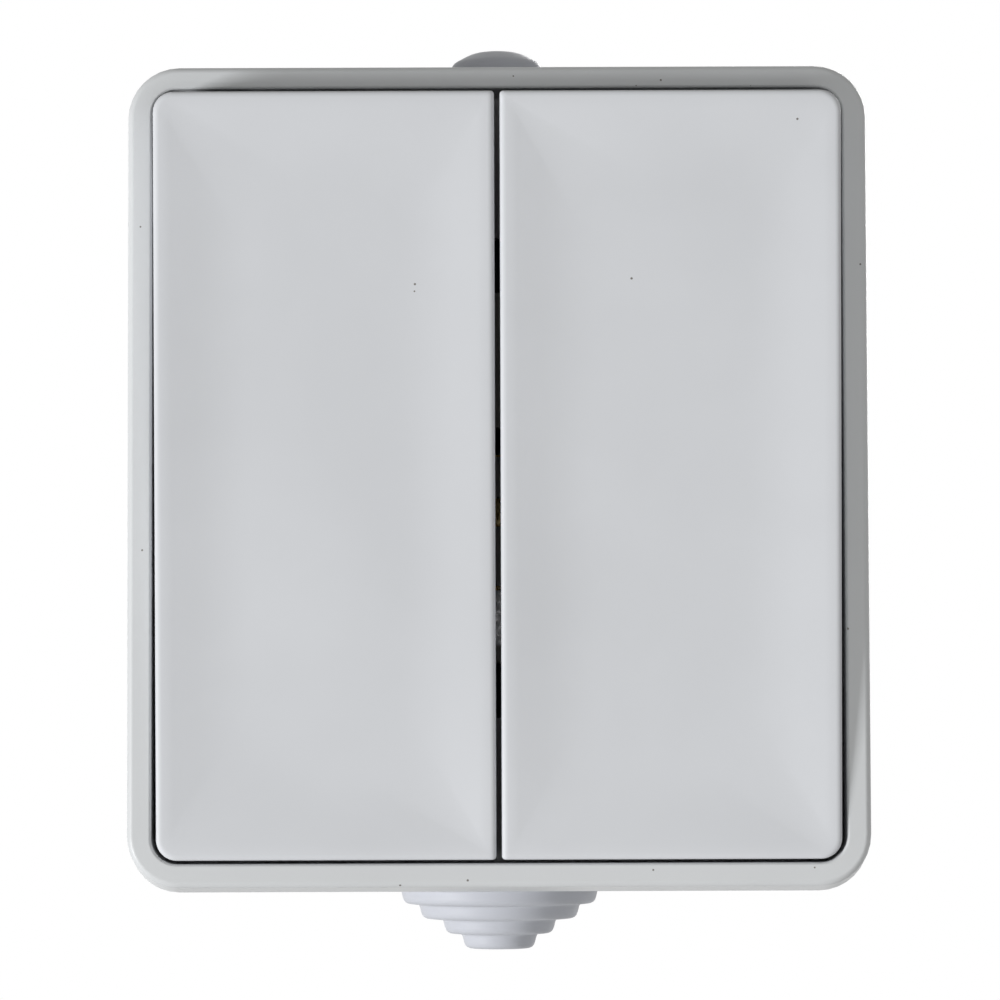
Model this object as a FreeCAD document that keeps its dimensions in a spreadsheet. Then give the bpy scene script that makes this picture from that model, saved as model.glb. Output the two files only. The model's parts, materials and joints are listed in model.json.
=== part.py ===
import FreeCAD, Part
import math
import os
import re

import Sketcher
from FreeCAD import Placement, Rotation, Vector

# Outdoor two-gang rocker switch for surface mounting.
# The wall is the plane Y = 0 and the front looks along -Y, with Z up and X to the right.
# Every depth below is a distance from the wall towards the front.
# The switch is drawn with the lower end of both rockers pressed in.

SIZES = [
    ("cover_width", 74.4, "front edge of the cover's sides, side to side"),
    ("cover_height", 83.0, "the same, top to bottom"),
    ("cover_corner", 5.2, "radius of the cover's outer corners"),
    ("cover_front", 46.0, "wall to the lip round the rockers"),
    ("cover_wall", 1.8, "side wall of the cover"),
    ("bevel_width", 2.2, "width of the sloping band beside the opening"),
    ("bevel_top", 2.35, "the same above the opening"),
    ("bevel_bottom", 2.15, "the same below the opening"),
    ("bevel_drop", 2.0, "how far that band falls back"),
    ("opening_corner", 2.3, "corner radius of the opening"),
    ("lip_land", 0.15, "flat left on the lip"),
    ("skirt_length", 12.0, "depth of the cover's sides"),
    ("skirt_flare", 1.15, "how far each side spreads towards the wall"),
    ("cover_edge", 0.4, "rounding between bevel and side"),
    ("well_depth", 7.3, "lip to the cover's inner plate"),
    ("web_thickness", 1.8, "that inner plate"),
    ("shadow_gap", 0.5, "gap between cover and box shoulder"),
    ("rim_clearance", 0.35, "box rim inside the cover"),
    ("rim_wall", 1.75, "wall of the box rim"),
    ("gasket_thickness", 1.2, "seal between rim and cover"),
    ("gasket_margin", 0.3, "seal kept inside the rim's edges"),
    ("box_wall", 2.8, "side wall of the box at its shoulder"),
    ("box_floor", 2.5, "floor of the box"),
    ("box_draft", 0.5, "how far each side narrows towards the wall"),
    ("box_corner", 5.0, "corner radius of the box"),
    ("room_corner", 2.8, "corner radius inside the box"),
    ("box_edge", 0.8, "rounding of the box's back edge"),
    ("column_radius", 3.8, "screw column in the box"),
    ("column_merge", 0.15, "column sunk into the corner walls"),
    ("screw_radius", 1.45, "shank of the machine screws"),
    ("screw_clearance", 0.05, "screw in its threaded column"),
    ("screw_passage", 0.3, "screw in a plate it passes"),
    ("head_passage", 0.5, "screw head in a hole it passes"),
    ("screw_bite", 10.0, "length of thread in a column"),
    ("head_radius", 2.8, "head of the machine screws"),
    ("head_height", 1.0, "height of those heads"),
    ("slot_width", 0.7, "screwdriver slot"),
    ("slot_depth", 0.5, "depth of that slot"),
    ("slot_half", 1.7, "half the length of a cross slot"),
    ("wall_hole_radius", 2.2, "hole for a wall screw"),
    ("wall_hole_pitch", 40.0, "wall screws, side to side"),
    ("wall_hole_rise", 60.0, "wall screws, top to bottom"),
    ("collar_radius", 4.6, "raised ring round a wall screw"),
    ("collar_height", 1.5, "height of that ring"),
    ("entry_depth", 16.0, "wall to the middle of the cable entries"),
    ("entry_radius", 9.4, "hole for a cable entry"),
    ("entry_boss", 13.0, "flat boss round that hole"),
    ("boss_proud", 0.35, "how far the boss stands out"),
    ("seal_fit", 0.1, "entry seal in its hole"),
    ("seal_lip", 1.8, "flange over the hole's inner edge"),
    ("seal_flange", 1.2, "thickness of that flange"),
    ("gland_collar", 12.0, "radius of the gland's outer collar"),
    ("collar_thickness", 0.8, "thickness of that collar"),
    ("gland_first", 10.65, "radius of the gland's widest step"),
    ("gland_second", 8.65, "radius of the next step"),
    ("gland_third", 6.1, "radius of the third step"),
    ("gland_fourth", 4.05, "radius of the last step"),
    ("gland_reach", 2.54, "boss to the end of the widest step"),
    ("gland_step", 1.6, "length of each further step"),
    ("gland_taper", 0.4, "narrowing of a step along its length"),
    ("gland_wall", 1.2, "skin of the gland"),
    ("gland_end", 1.0, "thickness of a step's end"),
    ("gland_round", 0.45, "rounding of each step's end"),
    ("plug_collar", 10.5, "radius of the top plug's collar"),
    ("plug_collar_height", 1.5, "height of that collar"),
    ("plug_shoulder", 1.4, "height of the slope above it"),
    ("plug_neck", 6.4, "radius at the end of that slope"),
    ("plug_knob", 4.95, "radius of the knob on the plug"),
    ("plug_knob_height", 1.55, "height of the knob's side"),
    ("plug_crown", 4.3, "radius of the crown on the knob"),
    ("plug_flat", 2.5, "radius of the crown's flat"),
    ("plug_crown_height", 1.35, "height of the crown"),
    ("seam", 0.55, "gap between the rockers"),
    ("side_gap", 0.5, "rocker to the side of the opening"),
    ("end_gap", 0.7, "rocker to the end of the opening"),
    ("face_rise", 2.86, "face above the lip when level"),
    ("pivot_depth", 7.0, "face to the axis it rocks on"),
    ("rest_tilt", 4.25, "tilt with the lower end pressed"),
    ("rocker_side", 5.5, "depth of a rocker's sides behind its face"),
    ("rocker_wall", 1.5, "thickness of those sides"),
    ("rocker_plate", 2.0, "thickness of the face"),
    ("rocker_corner", 1.8, "outer corner of a rocker"),
    ("seam_corner", 0.4, "corner at the seam"),
    ("rocker_edge", 0.8, "rounding of the face's edge"),
    ("dish_depth", 0.3, "hollow of the face"),
    ("dish_border", 9.0, "width of the rising border"),
    ("brim_width", 0.9, "edge of the face to the start of the hollow"),
    ("rib_thickness", 1.0, "ribs behind the face"),
    ("rib_height", 1.5, "height of those ribs"),
    ("rib_place", 27.0, "rib from the middle of the rocker"),
    ("deck_length", 26.0, "plate of the cradle, top to bottom"),
    ("deck_thickness", 1.8, "thickness of that plate"),
    ("hook_width", 8.0, "width of a rocker's hook"),
    ("hook_thickness", 1.5, "thickness of the hook"),
    ("hook_nose", 0.7, "how far the hook grips"),
    ("hook_tail", 1.1, "slope behind the hook's nose"),
    ("hook_slack", 0.1, "hook to the plate it grips"),
    ("cheek_thickness", 2.0, "side arm of the cradle"),
    ("cheek_half", 3.0, "half the height of that arm"),
    ("cheek_below", 2.0, "arm beyond the rocking axis"),
    ("web_rib", 1.6, "rib that joins the arms to the stem"),
    ("trunnion_radius", 1.8, "pin that the cradle rocks on"),
    ("trunnion_length", 2.4, "length of that pin"),
    ("trunnion_root", 0.5, "pin sunk into the side arm"),
    ("trunnion_clearance", 0.05, "pin in its bearing"),
    ("stem_radius", 3.6, "tube that guides the plunger"),
    ("stem_reach", 9.0, "rocking axis to the tube's mouth"),
    ("stem_blind", 2.0, "bore in front of the rocking axis"),
    ("plunger_radius", 2.27, "guided part of the plunger"),
    ("plunger_clearance", 0.08, "plunger in its bore"),
    ("plunger_shoulder", 5.5, "rocking axis to the plunger's shoulder"),
    ("plunger_guide", 5.0, "length of the guided part"),
    ("plunger_cone", 1.5, "length of the cone to the nose"),
    ("plunger_nose", 1.2, "radius of the nose"),
    ("plunger_tip", 0.6, "radius of the nose's flat end"),
    ("plunger_slope", 0.6, "length of the slope to that end"),
    ("plunger_pip", 1.5, "pip that centres the spring"),
    ("plunger_pip_radius", 1.0, "radius of that pip"),
    ("plunger_reach", 15.0, "rocking axis to the plunger's tip"),
    ("spring_radius", 1.75, "middle of the spring's wire"),
    ("spring_wire", 0.25, "radius of that wire"),
    ("spring_turns", 5.0, "turns of the spring"),
    ("spring_seat", 0.1, "wire to the seat at each end"),
    ("ear_thickness", 2.2, "bearing ear"),
    ("ear_half", 3.4, "half the height of an ear"),
    ("ear_gap", 0.4, "ear to the cradle's arm"),
    ("ear_margin", 0.9, "outer ear inside the turret's side"),
    ("ear_spacing", 2.4, "inner ear from the middle"),
    ("ear_root", 0.5, "ear sunk into the turret"),
    ("ear_below", 2.8, "rocking axis to the foot of the ear"),
    ("ear_above", 2.4, "rocking axis to the ear's tip"),
    ("snap_half", 1.35, "half the mouth of the bearing"),
    ("turret_inset", 1.0, "raised part of the mechanism inside the housing's sides"),
    ("turret_end_inset", 3.0, "the same inside the housing's ends"),
    ("turret_wall", 1.6, "wall of that raised part"),
    ("stem_window", 0.7, "free way round a stem"),
    ("core_slot_width", 2.4, "slot between the inner ears"),
    ("core_slot_height", 3.0, "height of that slot"),
    ("core_slot_place", 3.6, "slot from the middle"),
    ("window_side", 0.8, "cover's window beside the turret"),
    ("window_end", 5.7, "cover's window above and below it"),
    ("seal_thickness", 0.7, "seal between mechanism and cover"),
    ("seal_margin", 1.6, "seal beyond the cover's window"),
    ("seal_inside", 0.1, "seal round the turret"),
    ("bracket_thickness", 1.0, "steel bracket"),
    ("bracket_margin", 0.3, "bracket's window round the turret"),
    ("bracket_lug", 3.6, "bracket beyond its screws"),
    ("bracket_side_gap", 1.45, "bracket's lug to the side wall of the box"),
    ("bracket_lug_half", 6.0, "half the height of that lug"),
    ("bracket_rail", 2.5, "bracket beside the raised part"),
    ("bracket_end_rail", 8.0, "bracket above and below it"),
    ("mechanism_column", 3.6, "column under the bracket"),
    ("lid_thickness", 1.8, "flange of the mechanism's lid"),
    ("housing_side_gap", 1.1, "mechanism housing to the columns beside it"),
    ("housing_wall", 1.6, "wall of the housing"),
    ("housing_behind", 7.5, "wiring room behind the housing"),
    ("post_radius", 2.5, "post that carries the housing"),
    ("post_inset", 6.5, "post inside the housing's side"),
    ("post_end_inset", 7.0, "post inside the housing's end"),
    ("driver_radius", 3.1, "screwdriver hole in the lid"),
    ("tip_gap", 0.1, "plunger to the contact arm when level"),
    ("arm_ratio", 2.4, "turn of the contact arm for the rocker's turn"),
    ("arm_half_length", 9.0, "contact arm from its fulcrum"),
    ("arm_half_width", 3.0, "half its width"),
    ("arm_front", 1.5, "fulcrum to the arm's front"),
    ("arm_thickness", 1.0, "strip of the arm"),
    ("saddle_half", 1.9, "half the height of the arm's saddle"),
    ("saddle_depth", 0.6, "saddle behind the fulcrum"),
    ("fulcrum_radius", 0.8, "pin under the saddle"),
    ("fulcrum_clearance", 0.05, "saddle on that pin"),
    ("contact_inset", 1.5, "contact from the end of its arm"),
    ("contact_radius", 1.5, "head of a contact rivet"),
    ("contact_shank", 0.8, "shank of a contact rivet"),
    ("contact_head", 0.8, "height of that head"),
    ("rivet_tail", 0.2, "rivet's tail beyond the arm"),
    ("contact_gap", 0.2, "rivets apart when closed"),
    ("stop_inset", 1.0, "arm's stop from the end of the arm"),
    ("stop_half", 1.0, "half the height of the stop"),
    ("stop_gap", 0.3, "arm to its stop at rest"),
    ("strip_thickness", 1.0, "terminal strips"),
    ("strip_half_width", 2.5, "half their width"),
    ("strip_tail", 0.5, "strip beyond its clamp"),
    ("busbar_half_height", 3.4, "half the height of the common strip"),
    ("tine_gap", 0.5, "fork beside the contact arm"),
    ("tine_thickness", 1.0, "tine of the fork"),
    ("tine_half", 1.8, "half the height of a tine"),
    ("output_tail", 2.1, "output strip above its contact"),
    ("arm_room", 1.8, "contact arm to the terminal clamps"),
    ("clamp_room", 2.8, "clamps to the housing's wall"),
    ("clamp_half_width", 3.7, "half the width of a clamp"),
    ("clamp_half_height", 3.4, "half its height"),
    ("clamp_wall", 1.5, "front and rear wall of a clamp"),
    ("clamp_side", 1.05, "side wall of a clamp"),
    ("clamp_window", 5.6, "free depth in a clamp"),
    ("clamp_screw", 1.7, "radius of a terminal screw"),
    ("clamp_head", 2.9, "radius of its head"),
    ("clamp_head_height", 1.8, "height of its head"),
    ("clamp_head_gap", 0.3, "head in front of its clamp"),
    ("clamp_lift", 0.3, "terminal screw above its strip"),
    ("wire_hole", 2.0, "radius of a wire hole"),
    ("support_half", 1.8, "half the width of a strip's support"),
    ("cut_margin", 1.0, "how far a cut runs past what it cuts"),
]

doc = FreeCAD.newDocument("outdoor_switch")
sheet = doc.addObject("Spreadsheet::Sheet", "sizes")
for row, (alias, size, meaning) in enumerate(SIZES, start=1):
    sheet.set(f"A{row}", alias)
    sheet.set(f"B{row}", str(size))
    sheet.setAlias(f"B{row}", alias)
    sheet.set(f"C{row}", meaning)
doc.recompute()

ALIASES = re.compile(r"\b(" + "|".join(alias for alias, _, _ in SIZES) + r")\b")

# Places worked out from the sizes, each one an expression.
OPENING_WIDTH = "(cover_width - 2 * bevel_width)"
OPENING_HEIGHT = "(cover_height - bevel_top - bevel_bottom)"
OPENING_MIDDLE = "((bevel_bottom - bevel_top) / 2)"
BEVEL_FRONT = "(cover_front - bevel_drop)"
SKIRT_REAR = f"({BEVEL_FRONT} - skirt_length)"
SHOULDER = f"({SKIRT_REAR} - shadow_gap)"
WEB_FRONT = "(cover_front - well_depth)"
WEB_REAR = f"({WEB_FRONT} - web_thickness)"
RIM_FRONT = f"({WEB_REAR} - gasket_thickness)"
COVER_ROOM_WIDTH = "(cover_width + 2 * skirt_flare - 2 * cover_wall)"
COVER_ROOM_HEIGHT = "(cover_height + 2 * skirt_flare - 2 * cover_wall)"
RIM_WIDTH = f"({COVER_ROOM_WIDTH} - 2 * rim_clearance)"
RIM_HEIGHT = f"({COVER_ROOM_HEIGHT} - 2 * rim_clearance)"
ROOM_WIDTH = f"({RIM_WIDTH} - 2 * rim_wall)"
ROOM_HEIGHT = f"({RIM_HEIGHT} - 2 * rim_wall)"
BOX_WIDTH = f"({ROOM_WIDTH} + 2 * box_wall)"
BOX_HEIGHT = f"({ROOM_HEIGHT} + 2 * box_wall)"
RIM_CORNER = "(room_corner + rim_wall)"
BOSS_FACE = f"({BOX_HEIGHT} / 2 + boss_proud)"
ENTRY_INSIDE = f"({BOSS_FACE} - box_wall - boss_proud)"
COLUMN_X = f"({ROOM_WIDTH} / 2 - column_radius + column_merge)"
COLUMN_Z = f"({ROOM_HEIGHT} / 2 - column_radius + column_merge)"
PIVOT = "(cover_front + face_rise - pivot_depth)"
TURRET_FRONT = f"({PIVOT} - ear_below)"
BRACKET_SCREW = f"({ROOM_WIDTH} / 2 - bracket_side_gap - bracket_lug)"
BRACKET_FRONT = f"({WEB_REAR} - seal_thickness)"
BRACKET_REAR = f"({BRACKET_FRONT} - bracket_thickness)"
LID_REAR = f"({BRACKET_REAR} - lid_thickness)"
HOUSING_SIDE = f"({BRACKET_SCREW} - mechanism_column - housing_side_gap)"
TURRET_SIDE = f"({HOUSING_SIDE} - turret_inset)"
EAR_END = f"(({TURRET_SIDE} - ear_margin - ear_spacing) / 2)"
EAR_START = f"({EAR_END} - ear_thickness)"
DECK_SIDE = f"({EAR_START} - ear_gap)"
GANG = f"(ear_spacing + {EAR_END})"
CLAMP_DROP = "(arm_half_length + arm_room + clamp_half_height)"
HOUSING_END = f"({CLAMP_DROP} + clamp_half_height + clamp_room + housing_wall)"
TURRET_END = f"({HOUSING_END} - turret_end_inset)"
POST_X = f"({HOUSING_SIDE} - post_inset)"
POST_Z = f"({HOUSING_END} - post_end_inset)"
CONTACT_REACH = "(arm_half_length - contact_inset)"
STOP_REACH = "(arm_half_length - stop_inset)"
HOUSING_REAR = "(box_floor + housing_behind)"
HOUSING_FLOOR = f"({HOUSING_REAR} + housing_wall)"
FULCRUM = f"({PIVOT} - plunger_reach - tip_gap - arm_front)"
ARM_TILT = "(rest_tilt * arm_ratio)"
ARM_REAR = "(arm_thickness - arm_front)"
CLOSED_DROP = (
    f"((contact_head + {ARM_REAR}) * cos({ARM_TILT}) + ({CONTACT_REACH} + contact_radius) * sin({ARM_TILT}))"
)
CONTACT_FACE = f"({FULCRUM} - {CLOSED_DROP} - contact_gap)"
STRIP_FRONT = f"({CONTACT_FACE} - contact_head)"
STRIP_REAR = f"({STRIP_FRONT} - strip_thickness)"
STOP_DROP = f"({ARM_REAR} * cos({ARM_TILT}) + ({STOP_REACH} + stop_half) * sin({ARM_TILT}))"
STOP_FRONT = f"({FULCRUM} - {STOP_DROP} - stop_gap)"
CLAMP_REAR = f"({STRIP_REAR} - clamp_wall)"
CLAMP_FRONT = f"({STRIP_REAR} + clamp_window + clamp_wall)"
STRIP_FOOT = f"-({CLAMP_DROP} + clamp_half_height + strip_tail)"
WIRE_LEVEL = f"({STRIP_FRONT} + wire_hole + clamp_lift)"
ROCKER_WIDTH = f"({OPENING_WIDTH} / 2 - side_gap - seam / 2)"
ROCKER_LENGTH = f"({OPENING_HEIGHT} - 2 * end_gap)"
ROCKER_FRONT = "(pivot_depth + dish_depth)"
ROCKER_REAR = "(pivot_depth - rocker_side)"
ROCKER_BACK = "(pivot_depth - rocker_plate)"
DECK_REAR = f"({ROCKER_BACK} - deck_thickness)"
STEM_HOLE = "(stem_radius + stem_window)"
BORE_RADIUS = "(plunger_radius + plunger_clearance)"
TERMINALS = [("left", f"-{GANG}"), ("common", "0"), ("right", GANG)]

LEAST_CUT = 1e-6
TOUCHING = 0.01
SUBPARTS = []


def bound(text):
    """The expression with every size's name led by its sheet."""
    return ALIASES.sub(r"sizes.\1", text)


def number(text):
    """What an expression comes to now."""
    return float(sheet.evalExpression(text))


def bind(item, prop, text):
    item.setExpression(prop, bound(text))


def place(item, x="0", front="0", z="0"):
    """Puts an item at a place whose depth is counted from the wall."""
    bind(item, "Placement.Base.x", x)
    bind(item, "Placement.Base.y", f"-({front})")
    bind(item, "Placement.Base.z", z)


def tilt(item, front, angle, lower_end_in=True):
    """Turns an item about a level axis at a depth, as the rest pose has it."""
    axis = Vector(1 if lower_end_in else -1, 0, 0)
    item.Placement = Placement(Vector(0, -number(front), 0), Rotation(axis, number(angle)))
    bind(item, "Placement.Base.y", f"-({front})")
    bind(item, "Placement.Rotation.Angle", angle)


def block(name, x, depth, z):
    """A box between two values of X, of depth and of Z."""
    item = doc.addObject("Part::Box", name)
    bind(item, "Length", f"({x[1]}) - ({x[0]})")
    bind(item, "Width", f"({depth[1]}) - ({depth[0]})")
    bind(item, "Height", f"({z[1]}) - ({z[0]})")
    place(item, x[0], depth[1], z[0])
    return item


def rod(name, radius, length, x, front, z, along):
    """A cylinder that starts at a place and runs to the front, to the right or up."""
    turns = {
        "front": Rotation(Vector(1, 0, 0), 90),
        "right": Rotation(Vector(0, 1, 0), 90),
        "up": Rotation(),
    }
    item = doc.addObject("Part::Cylinder", name)
    item.Placement = Placement(Vector(), turns[along])
    bind(item, "Radius", radius)
    bind(item, "Height", length)
    place(item, x, front, z)
    return item


def post(name, radius, depth, x, z):
    """A cylinder between two depths."""
    return rod(name, radius, f"({depth[1]}) - ({depth[0]})", x, depth[0], z, "front")


def joined(name, items):
    item = doc.addObject("Part::MultiFuse", name)
    item.Shapes = items
    item.Refine = True
    return item


def without(name, base, tools):
    """The base with all the tools cut out of it, each of which has to remove something."""
    cutter = tools[0] if len(tools) == 1 else joined(f"{name}_cuts", tools)
    item = doc.addObject("Part::Cut", name)
    item.Base = base
    item.Tool = cutter
    doc.recompute()
    if item.Shape.Volume > base.Shape.Volume - LEAST_CUT:
        raise RuntimeError(f"{name} was not cut")
    return item


def group(name, items):
    item = doc.addObject("Part::Compound", name)
    item.Links = items
    return item


def labelled(item, label):
    item.Label = label
    SUBPARTS.append(item)
    return item


def new_body(label):
    return labelled(doc.addObject("PartDesign::Body", label), label)


def sketch_on(body, name, role, offset="0", shift="0", rise="0"):
    """A sketch on one of the body's own planes, moved along the plane's normal and within it."""
    sketch = body.newObject("Sketcher::SketchObject", f"{body.Name}_{name}")
    face = next(item for item in body.Origin.OriginFeatures if item.Role == role)
    sketch.AttachmentSupport = [(face, "")]
    sketch.MapMode = "FlatFace"
    bind(sketch, "AttachmentOffset.Base.z", offset)
    bind(sketch, "AttachmentOffset.Base.x", shift)
    bind(sketch, "AttachmentOffset.Base.y", rise)
    return sketch


def hold(sketch, kind, first, text):
    """Holds a point at a distance from the sketch's origin, by expression."""
    index = sketch.addConstraint(Sketcher.Constraint(kind, -1, 1, first[0], first[1], number(text)))
    bind(sketch, f"Constraints[{index}]", text)


def polygon(sketch, points):
    """A closed outline through points, each given as two expressions."""
    places = [Vector(number(u), number(v), 0) for u, v in points]
    count = len(places)
    start = sketch.GeometryCount
    for i in range(count):
        sketch.addGeometry(Part.LineSegment(places[i], places[(i + 1) % count]))
    for i, (u, v) in enumerate(points):
        after = start + (i + 1) % count
        sketch.addConstraint(Sketcher.Constraint("Coincident", start + i, 2, after, 1))
        hold(sketch, "DistanceX", (start + i, 1), u)
        hold(sketch, "DistanceY", (start + i, 1), v)


def rectangle(sketch, u, v):
    polygon(sketch, [(u[0], v[0]), (u[1], v[0]), (u[1], v[1]), (u[0], v[1])])


def rounded(sketch, width, height, radius):
    """A rectangle about the sketch's origin with round corners."""
    a, b, r = number(width) / 2, number(height) / 2, number(radius)
    first = sketch.GeometryCount
    sides = [
        (Vector(-a + r, -b, 0), Vector(a - r, -b, 0)),
        (Vector(a, -b + r, 0), Vector(a, b - r, 0)),
        (Vector(a - r, b, 0), Vector(-a + r, b, 0)),
        (Vector(-a, b - r, 0), Vector(-a, -b + r, 0)),
    ]
    for start, end in sides:
        sketch.addGeometry(Part.LineSegment(start, end))
    corners = [(a - r, -b + r), (a - r, b - r), (-a + r, b - r), (-a + r, -b + r)]
    for i, (x, y) in enumerate(corners):
        circle_line = Part.Circle(Vector(x, y, 0), Vector(0, 0, 1), r)
        begin = math.pi * (i - 1) / 2
        sketch.addGeometry(Part.ArcOfCircle(circle_line, begin, begin + math.pi / 2))
    for i in range(4):
        side, corner, after = first + i, first + 4 + i, first + (i + 1) % 4
        sketch.addConstraint(Sketcher.Constraint("Tangent", side, 2, corner, 1))
        sketch.addConstraint(Sketcher.Constraint("Tangent", corner, 2, after, 1))
        sketch.addConstraint(Sketcher.Constraint("Horizontal" if i % 2 == 0 else "Vertical", side))
    for i in range(3):
        sketch.addConstraint(Sketcher.Constraint("Equal", first + 4 + i, first + 5 + i))
    index = sketch.addConstraint(Sketcher.Constraint("Radius", first + 4, r))
    bind(sketch, f"Constraints[{index}]", radius)
    hold(sketch, "DistanceX", (first + 1, 1), f"{width} / 2")
    hold(sketch, "DistanceX", (first + 3, 1), f"-({width} / 2)")
    hold(sketch, "DistanceY", (first + 2, 1), f"{height} / 2")
    hold(sketch, "DistanceY", (first, 1), f"-({height} / 2)")


def circle(sketch, u, v, radius):
    index = sketch.addGeometry(Part.Circle(Vector(number(u), number(v), 0), Vector(0, 0, 1), number(radius)))
    hold(sketch, "DistanceX", (index, 3), u)
    hold(sketch, "DistanceY", (index, 3), v)
    size = sketch.addConstraint(Sketcher.Constraint("Radius", index, number(radius)))
    bind(sketch, f"Constraints[{size}]", radius)


def feature(body, kind, name, profile=None):
    item = body.newObject(f"PartDesign::{kind}", f"{body.Name}_{name}")
    if profile is not None:
        item.Profile = profile
    return item


def pad(body, name, profile, length):
    item = feature(body, "Pad", name, profile)
    bind(item, "Length", length)
    return item


def pocket(body, name, profile, length):
    """Cuts against the sketch's normal, and checks that something went."""
    doc.recompute()
    before = body.Shape.Volume
    item = feature(body, "Pocket", name, profile)
    bind(item, "Length", length)
    doc.recompute()
    if body.Shape.Volume > before - LEAST_CUT:
        raise RuntimeError(f"{body.Name}_{name} cut nothing")
    return item


def loft(body, name, start, end, cut=False):
    item = feature(body, "SubtractiveLoft" if cut else "AdditiveLoft", name, start)
    item.Sections = [(end, [""])]
    item.Ruled = True
    return item


def revolve(body, name, profile):
    item = feature(body, "Revolution", name, profile)
    item.ReferenceAxis = (profile, ["V_Axis"])
    item.Angle = 360
    return item


def fillet(body, name, base, radius, wanted):
    """Rounds the edges whose middle and ends pass a test."""
    doc.recompute()
    edges = [f"Edge{i}" for i, edge in enumerate(base.Shape.Edges, start=1) if wanted(edge)]
    if not edges:
        raise RuntimeError(f"{body.Name}_{name} found no edge")
    item = feature(body, "Fillet", name)
    item.Base = (base, edges)
    bind(item, "Radius", radius)
    return item


def at_front(edge, front):
    """Whether an edge lies wholly at one depth."""
    box = edge.BoundBox
    return abs(box.YMin + front) < TOUCHING and abs(box.YMax + front) < TOUCHING


def is_ring(edge, radius):
    """Whether an edge is an arc or circle of one radius."""
    return hasattr(edge.Curve, "Radius") and abs(edge.Curve.Radius - number(radius)) < TOUCHING


def corners_of(x, z):
    """The four places at X and Z on either side of the middle."""
    return [(f"{sx} * {x}", f"{sz} * {z}") for sx in (-1, 1) for sz in (-1, 1)]


def make_box():
    """Rear box: drafted walls, a stepped rim for the cover, screw columns, entries and wall holes."""
    body = new_body("rear_box")
    back = sketch_on(body, "back", "XZ_Plane")
    rounded(back, f"({BOX_WIDTH} - 2 * box_draft)", f"({BOX_HEIGHT} - 2 * box_draft)", "box_corner")
    shoulder = sketch_on(body, "shoulder", "XZ_Plane", SHOULDER)
    rounded(shoulder, BOX_WIDTH, BOX_HEIGHT, "box_corner")
    shell = loft(body, "shell", back, shoulder)
    fillet(body, "back_edge", shell, "box_edge", lambda edge: at_front(edge, 0))
    rim = sketch_on(body, "rim", "XZ_Plane", SHOULDER)
    rounded(rim, RIM_WIDTH, RIM_HEIGHT, RIM_CORNER)
    pad(body, "rim_wall", rim, f"{RIM_FRONT} - {SHOULDER}")
    for name, start in (("upper", f"{BOSS_FACE} - box_wall"), ("lower", f"-{BOSS_FACE}")):
        boss = sketch_on(body, f"{name}_boss", "XY_Plane", start)
        circle(boss, "0", "-entry_depth", "entry_boss")
        pad(body, f"{name}_boss_pad", boss, "box_wall")
    room = sketch_on(body, "room", "XZ_Plane", RIM_FRONT)
    rounded(room, ROOM_WIDTH, ROOM_HEIGHT, "room_corner")
    pocket(body, "room_cut", room, f"{RIM_FRONT} - box_floor")
    tall = sketch_on(body, "tall", "XZ_Plane", "box_floor")
    for x, z in corners_of(COLUMN_X, COLUMN_Z):
        circle(tall, x, z, "column_radius")
    pad(body, "cover_columns", tall, f"{WEB_REAR} - box_floor")
    lower = sketch_on(body, "lower", "XZ_Plane", "box_floor")
    for side in (-1, 1):
        circle(lower, f"{side} * {BRACKET_SCREW}", "0", "mechanism_column")
    pad(body, "mechanism_columns", lower, f"{BRACKET_REAR} - box_floor")
    feet = sketch_on(body, "feet", "XZ_Plane", "box_floor")
    for x, z in corners_of(POST_X, POST_Z):
        circle(feet, x, z, "post_radius")
    pad(body, "housing_posts", feet, "housing_behind")
    collars = sketch_on(body, "collars", "XZ_Plane", "box_floor")
    for x, z in corners_of("wall_hole_pitch / 2", "wall_hole_rise / 2"):
        circle(collars, x, z, "collar_radius")
    pad(body, "wall_collars", collars, "collar_height")
    taps = sketch_on(body, "taps", "XZ_Plane", WEB_REAR)
    for x, z in corners_of(COLUMN_X, COLUMN_Z):
        circle(taps, x, z, "screw_radius + screw_clearance")
    pocket(body, "cover_taps", taps, "screw_bite + cut_margin")
    pilots = sketch_on(body, "pilots", "XZ_Plane", BRACKET_REAR)
    for side in (-1, 1):
        circle(pilots, f"{side} * {BRACKET_SCREW}", "0", "screw_radius + screw_clearance")
    pocket(body, "mechanism_taps", pilots, "screw_bite + cut_margin")
    holes = sketch_on(body, "holes", "XZ_Plane", "box_floor + collar_height")
    for x, z in corners_of("wall_hole_pitch / 2", "wall_hole_rise / 2"):
        circle(holes, x, z, "wall_hole_radius")
    pocket(body, "wall_holes", holes, "box_floor + collar_height + cut_margin")
    entry = sketch_on(body, "entry", "XY_Plane", f"{BOSS_FACE} + cut_margin")
    circle(entry, "0", "-entry_depth", "entry_radius")
    pocket(body, "cable_entries", entry, f"2 * ({BOSS_FACE} + cut_margin)")


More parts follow.
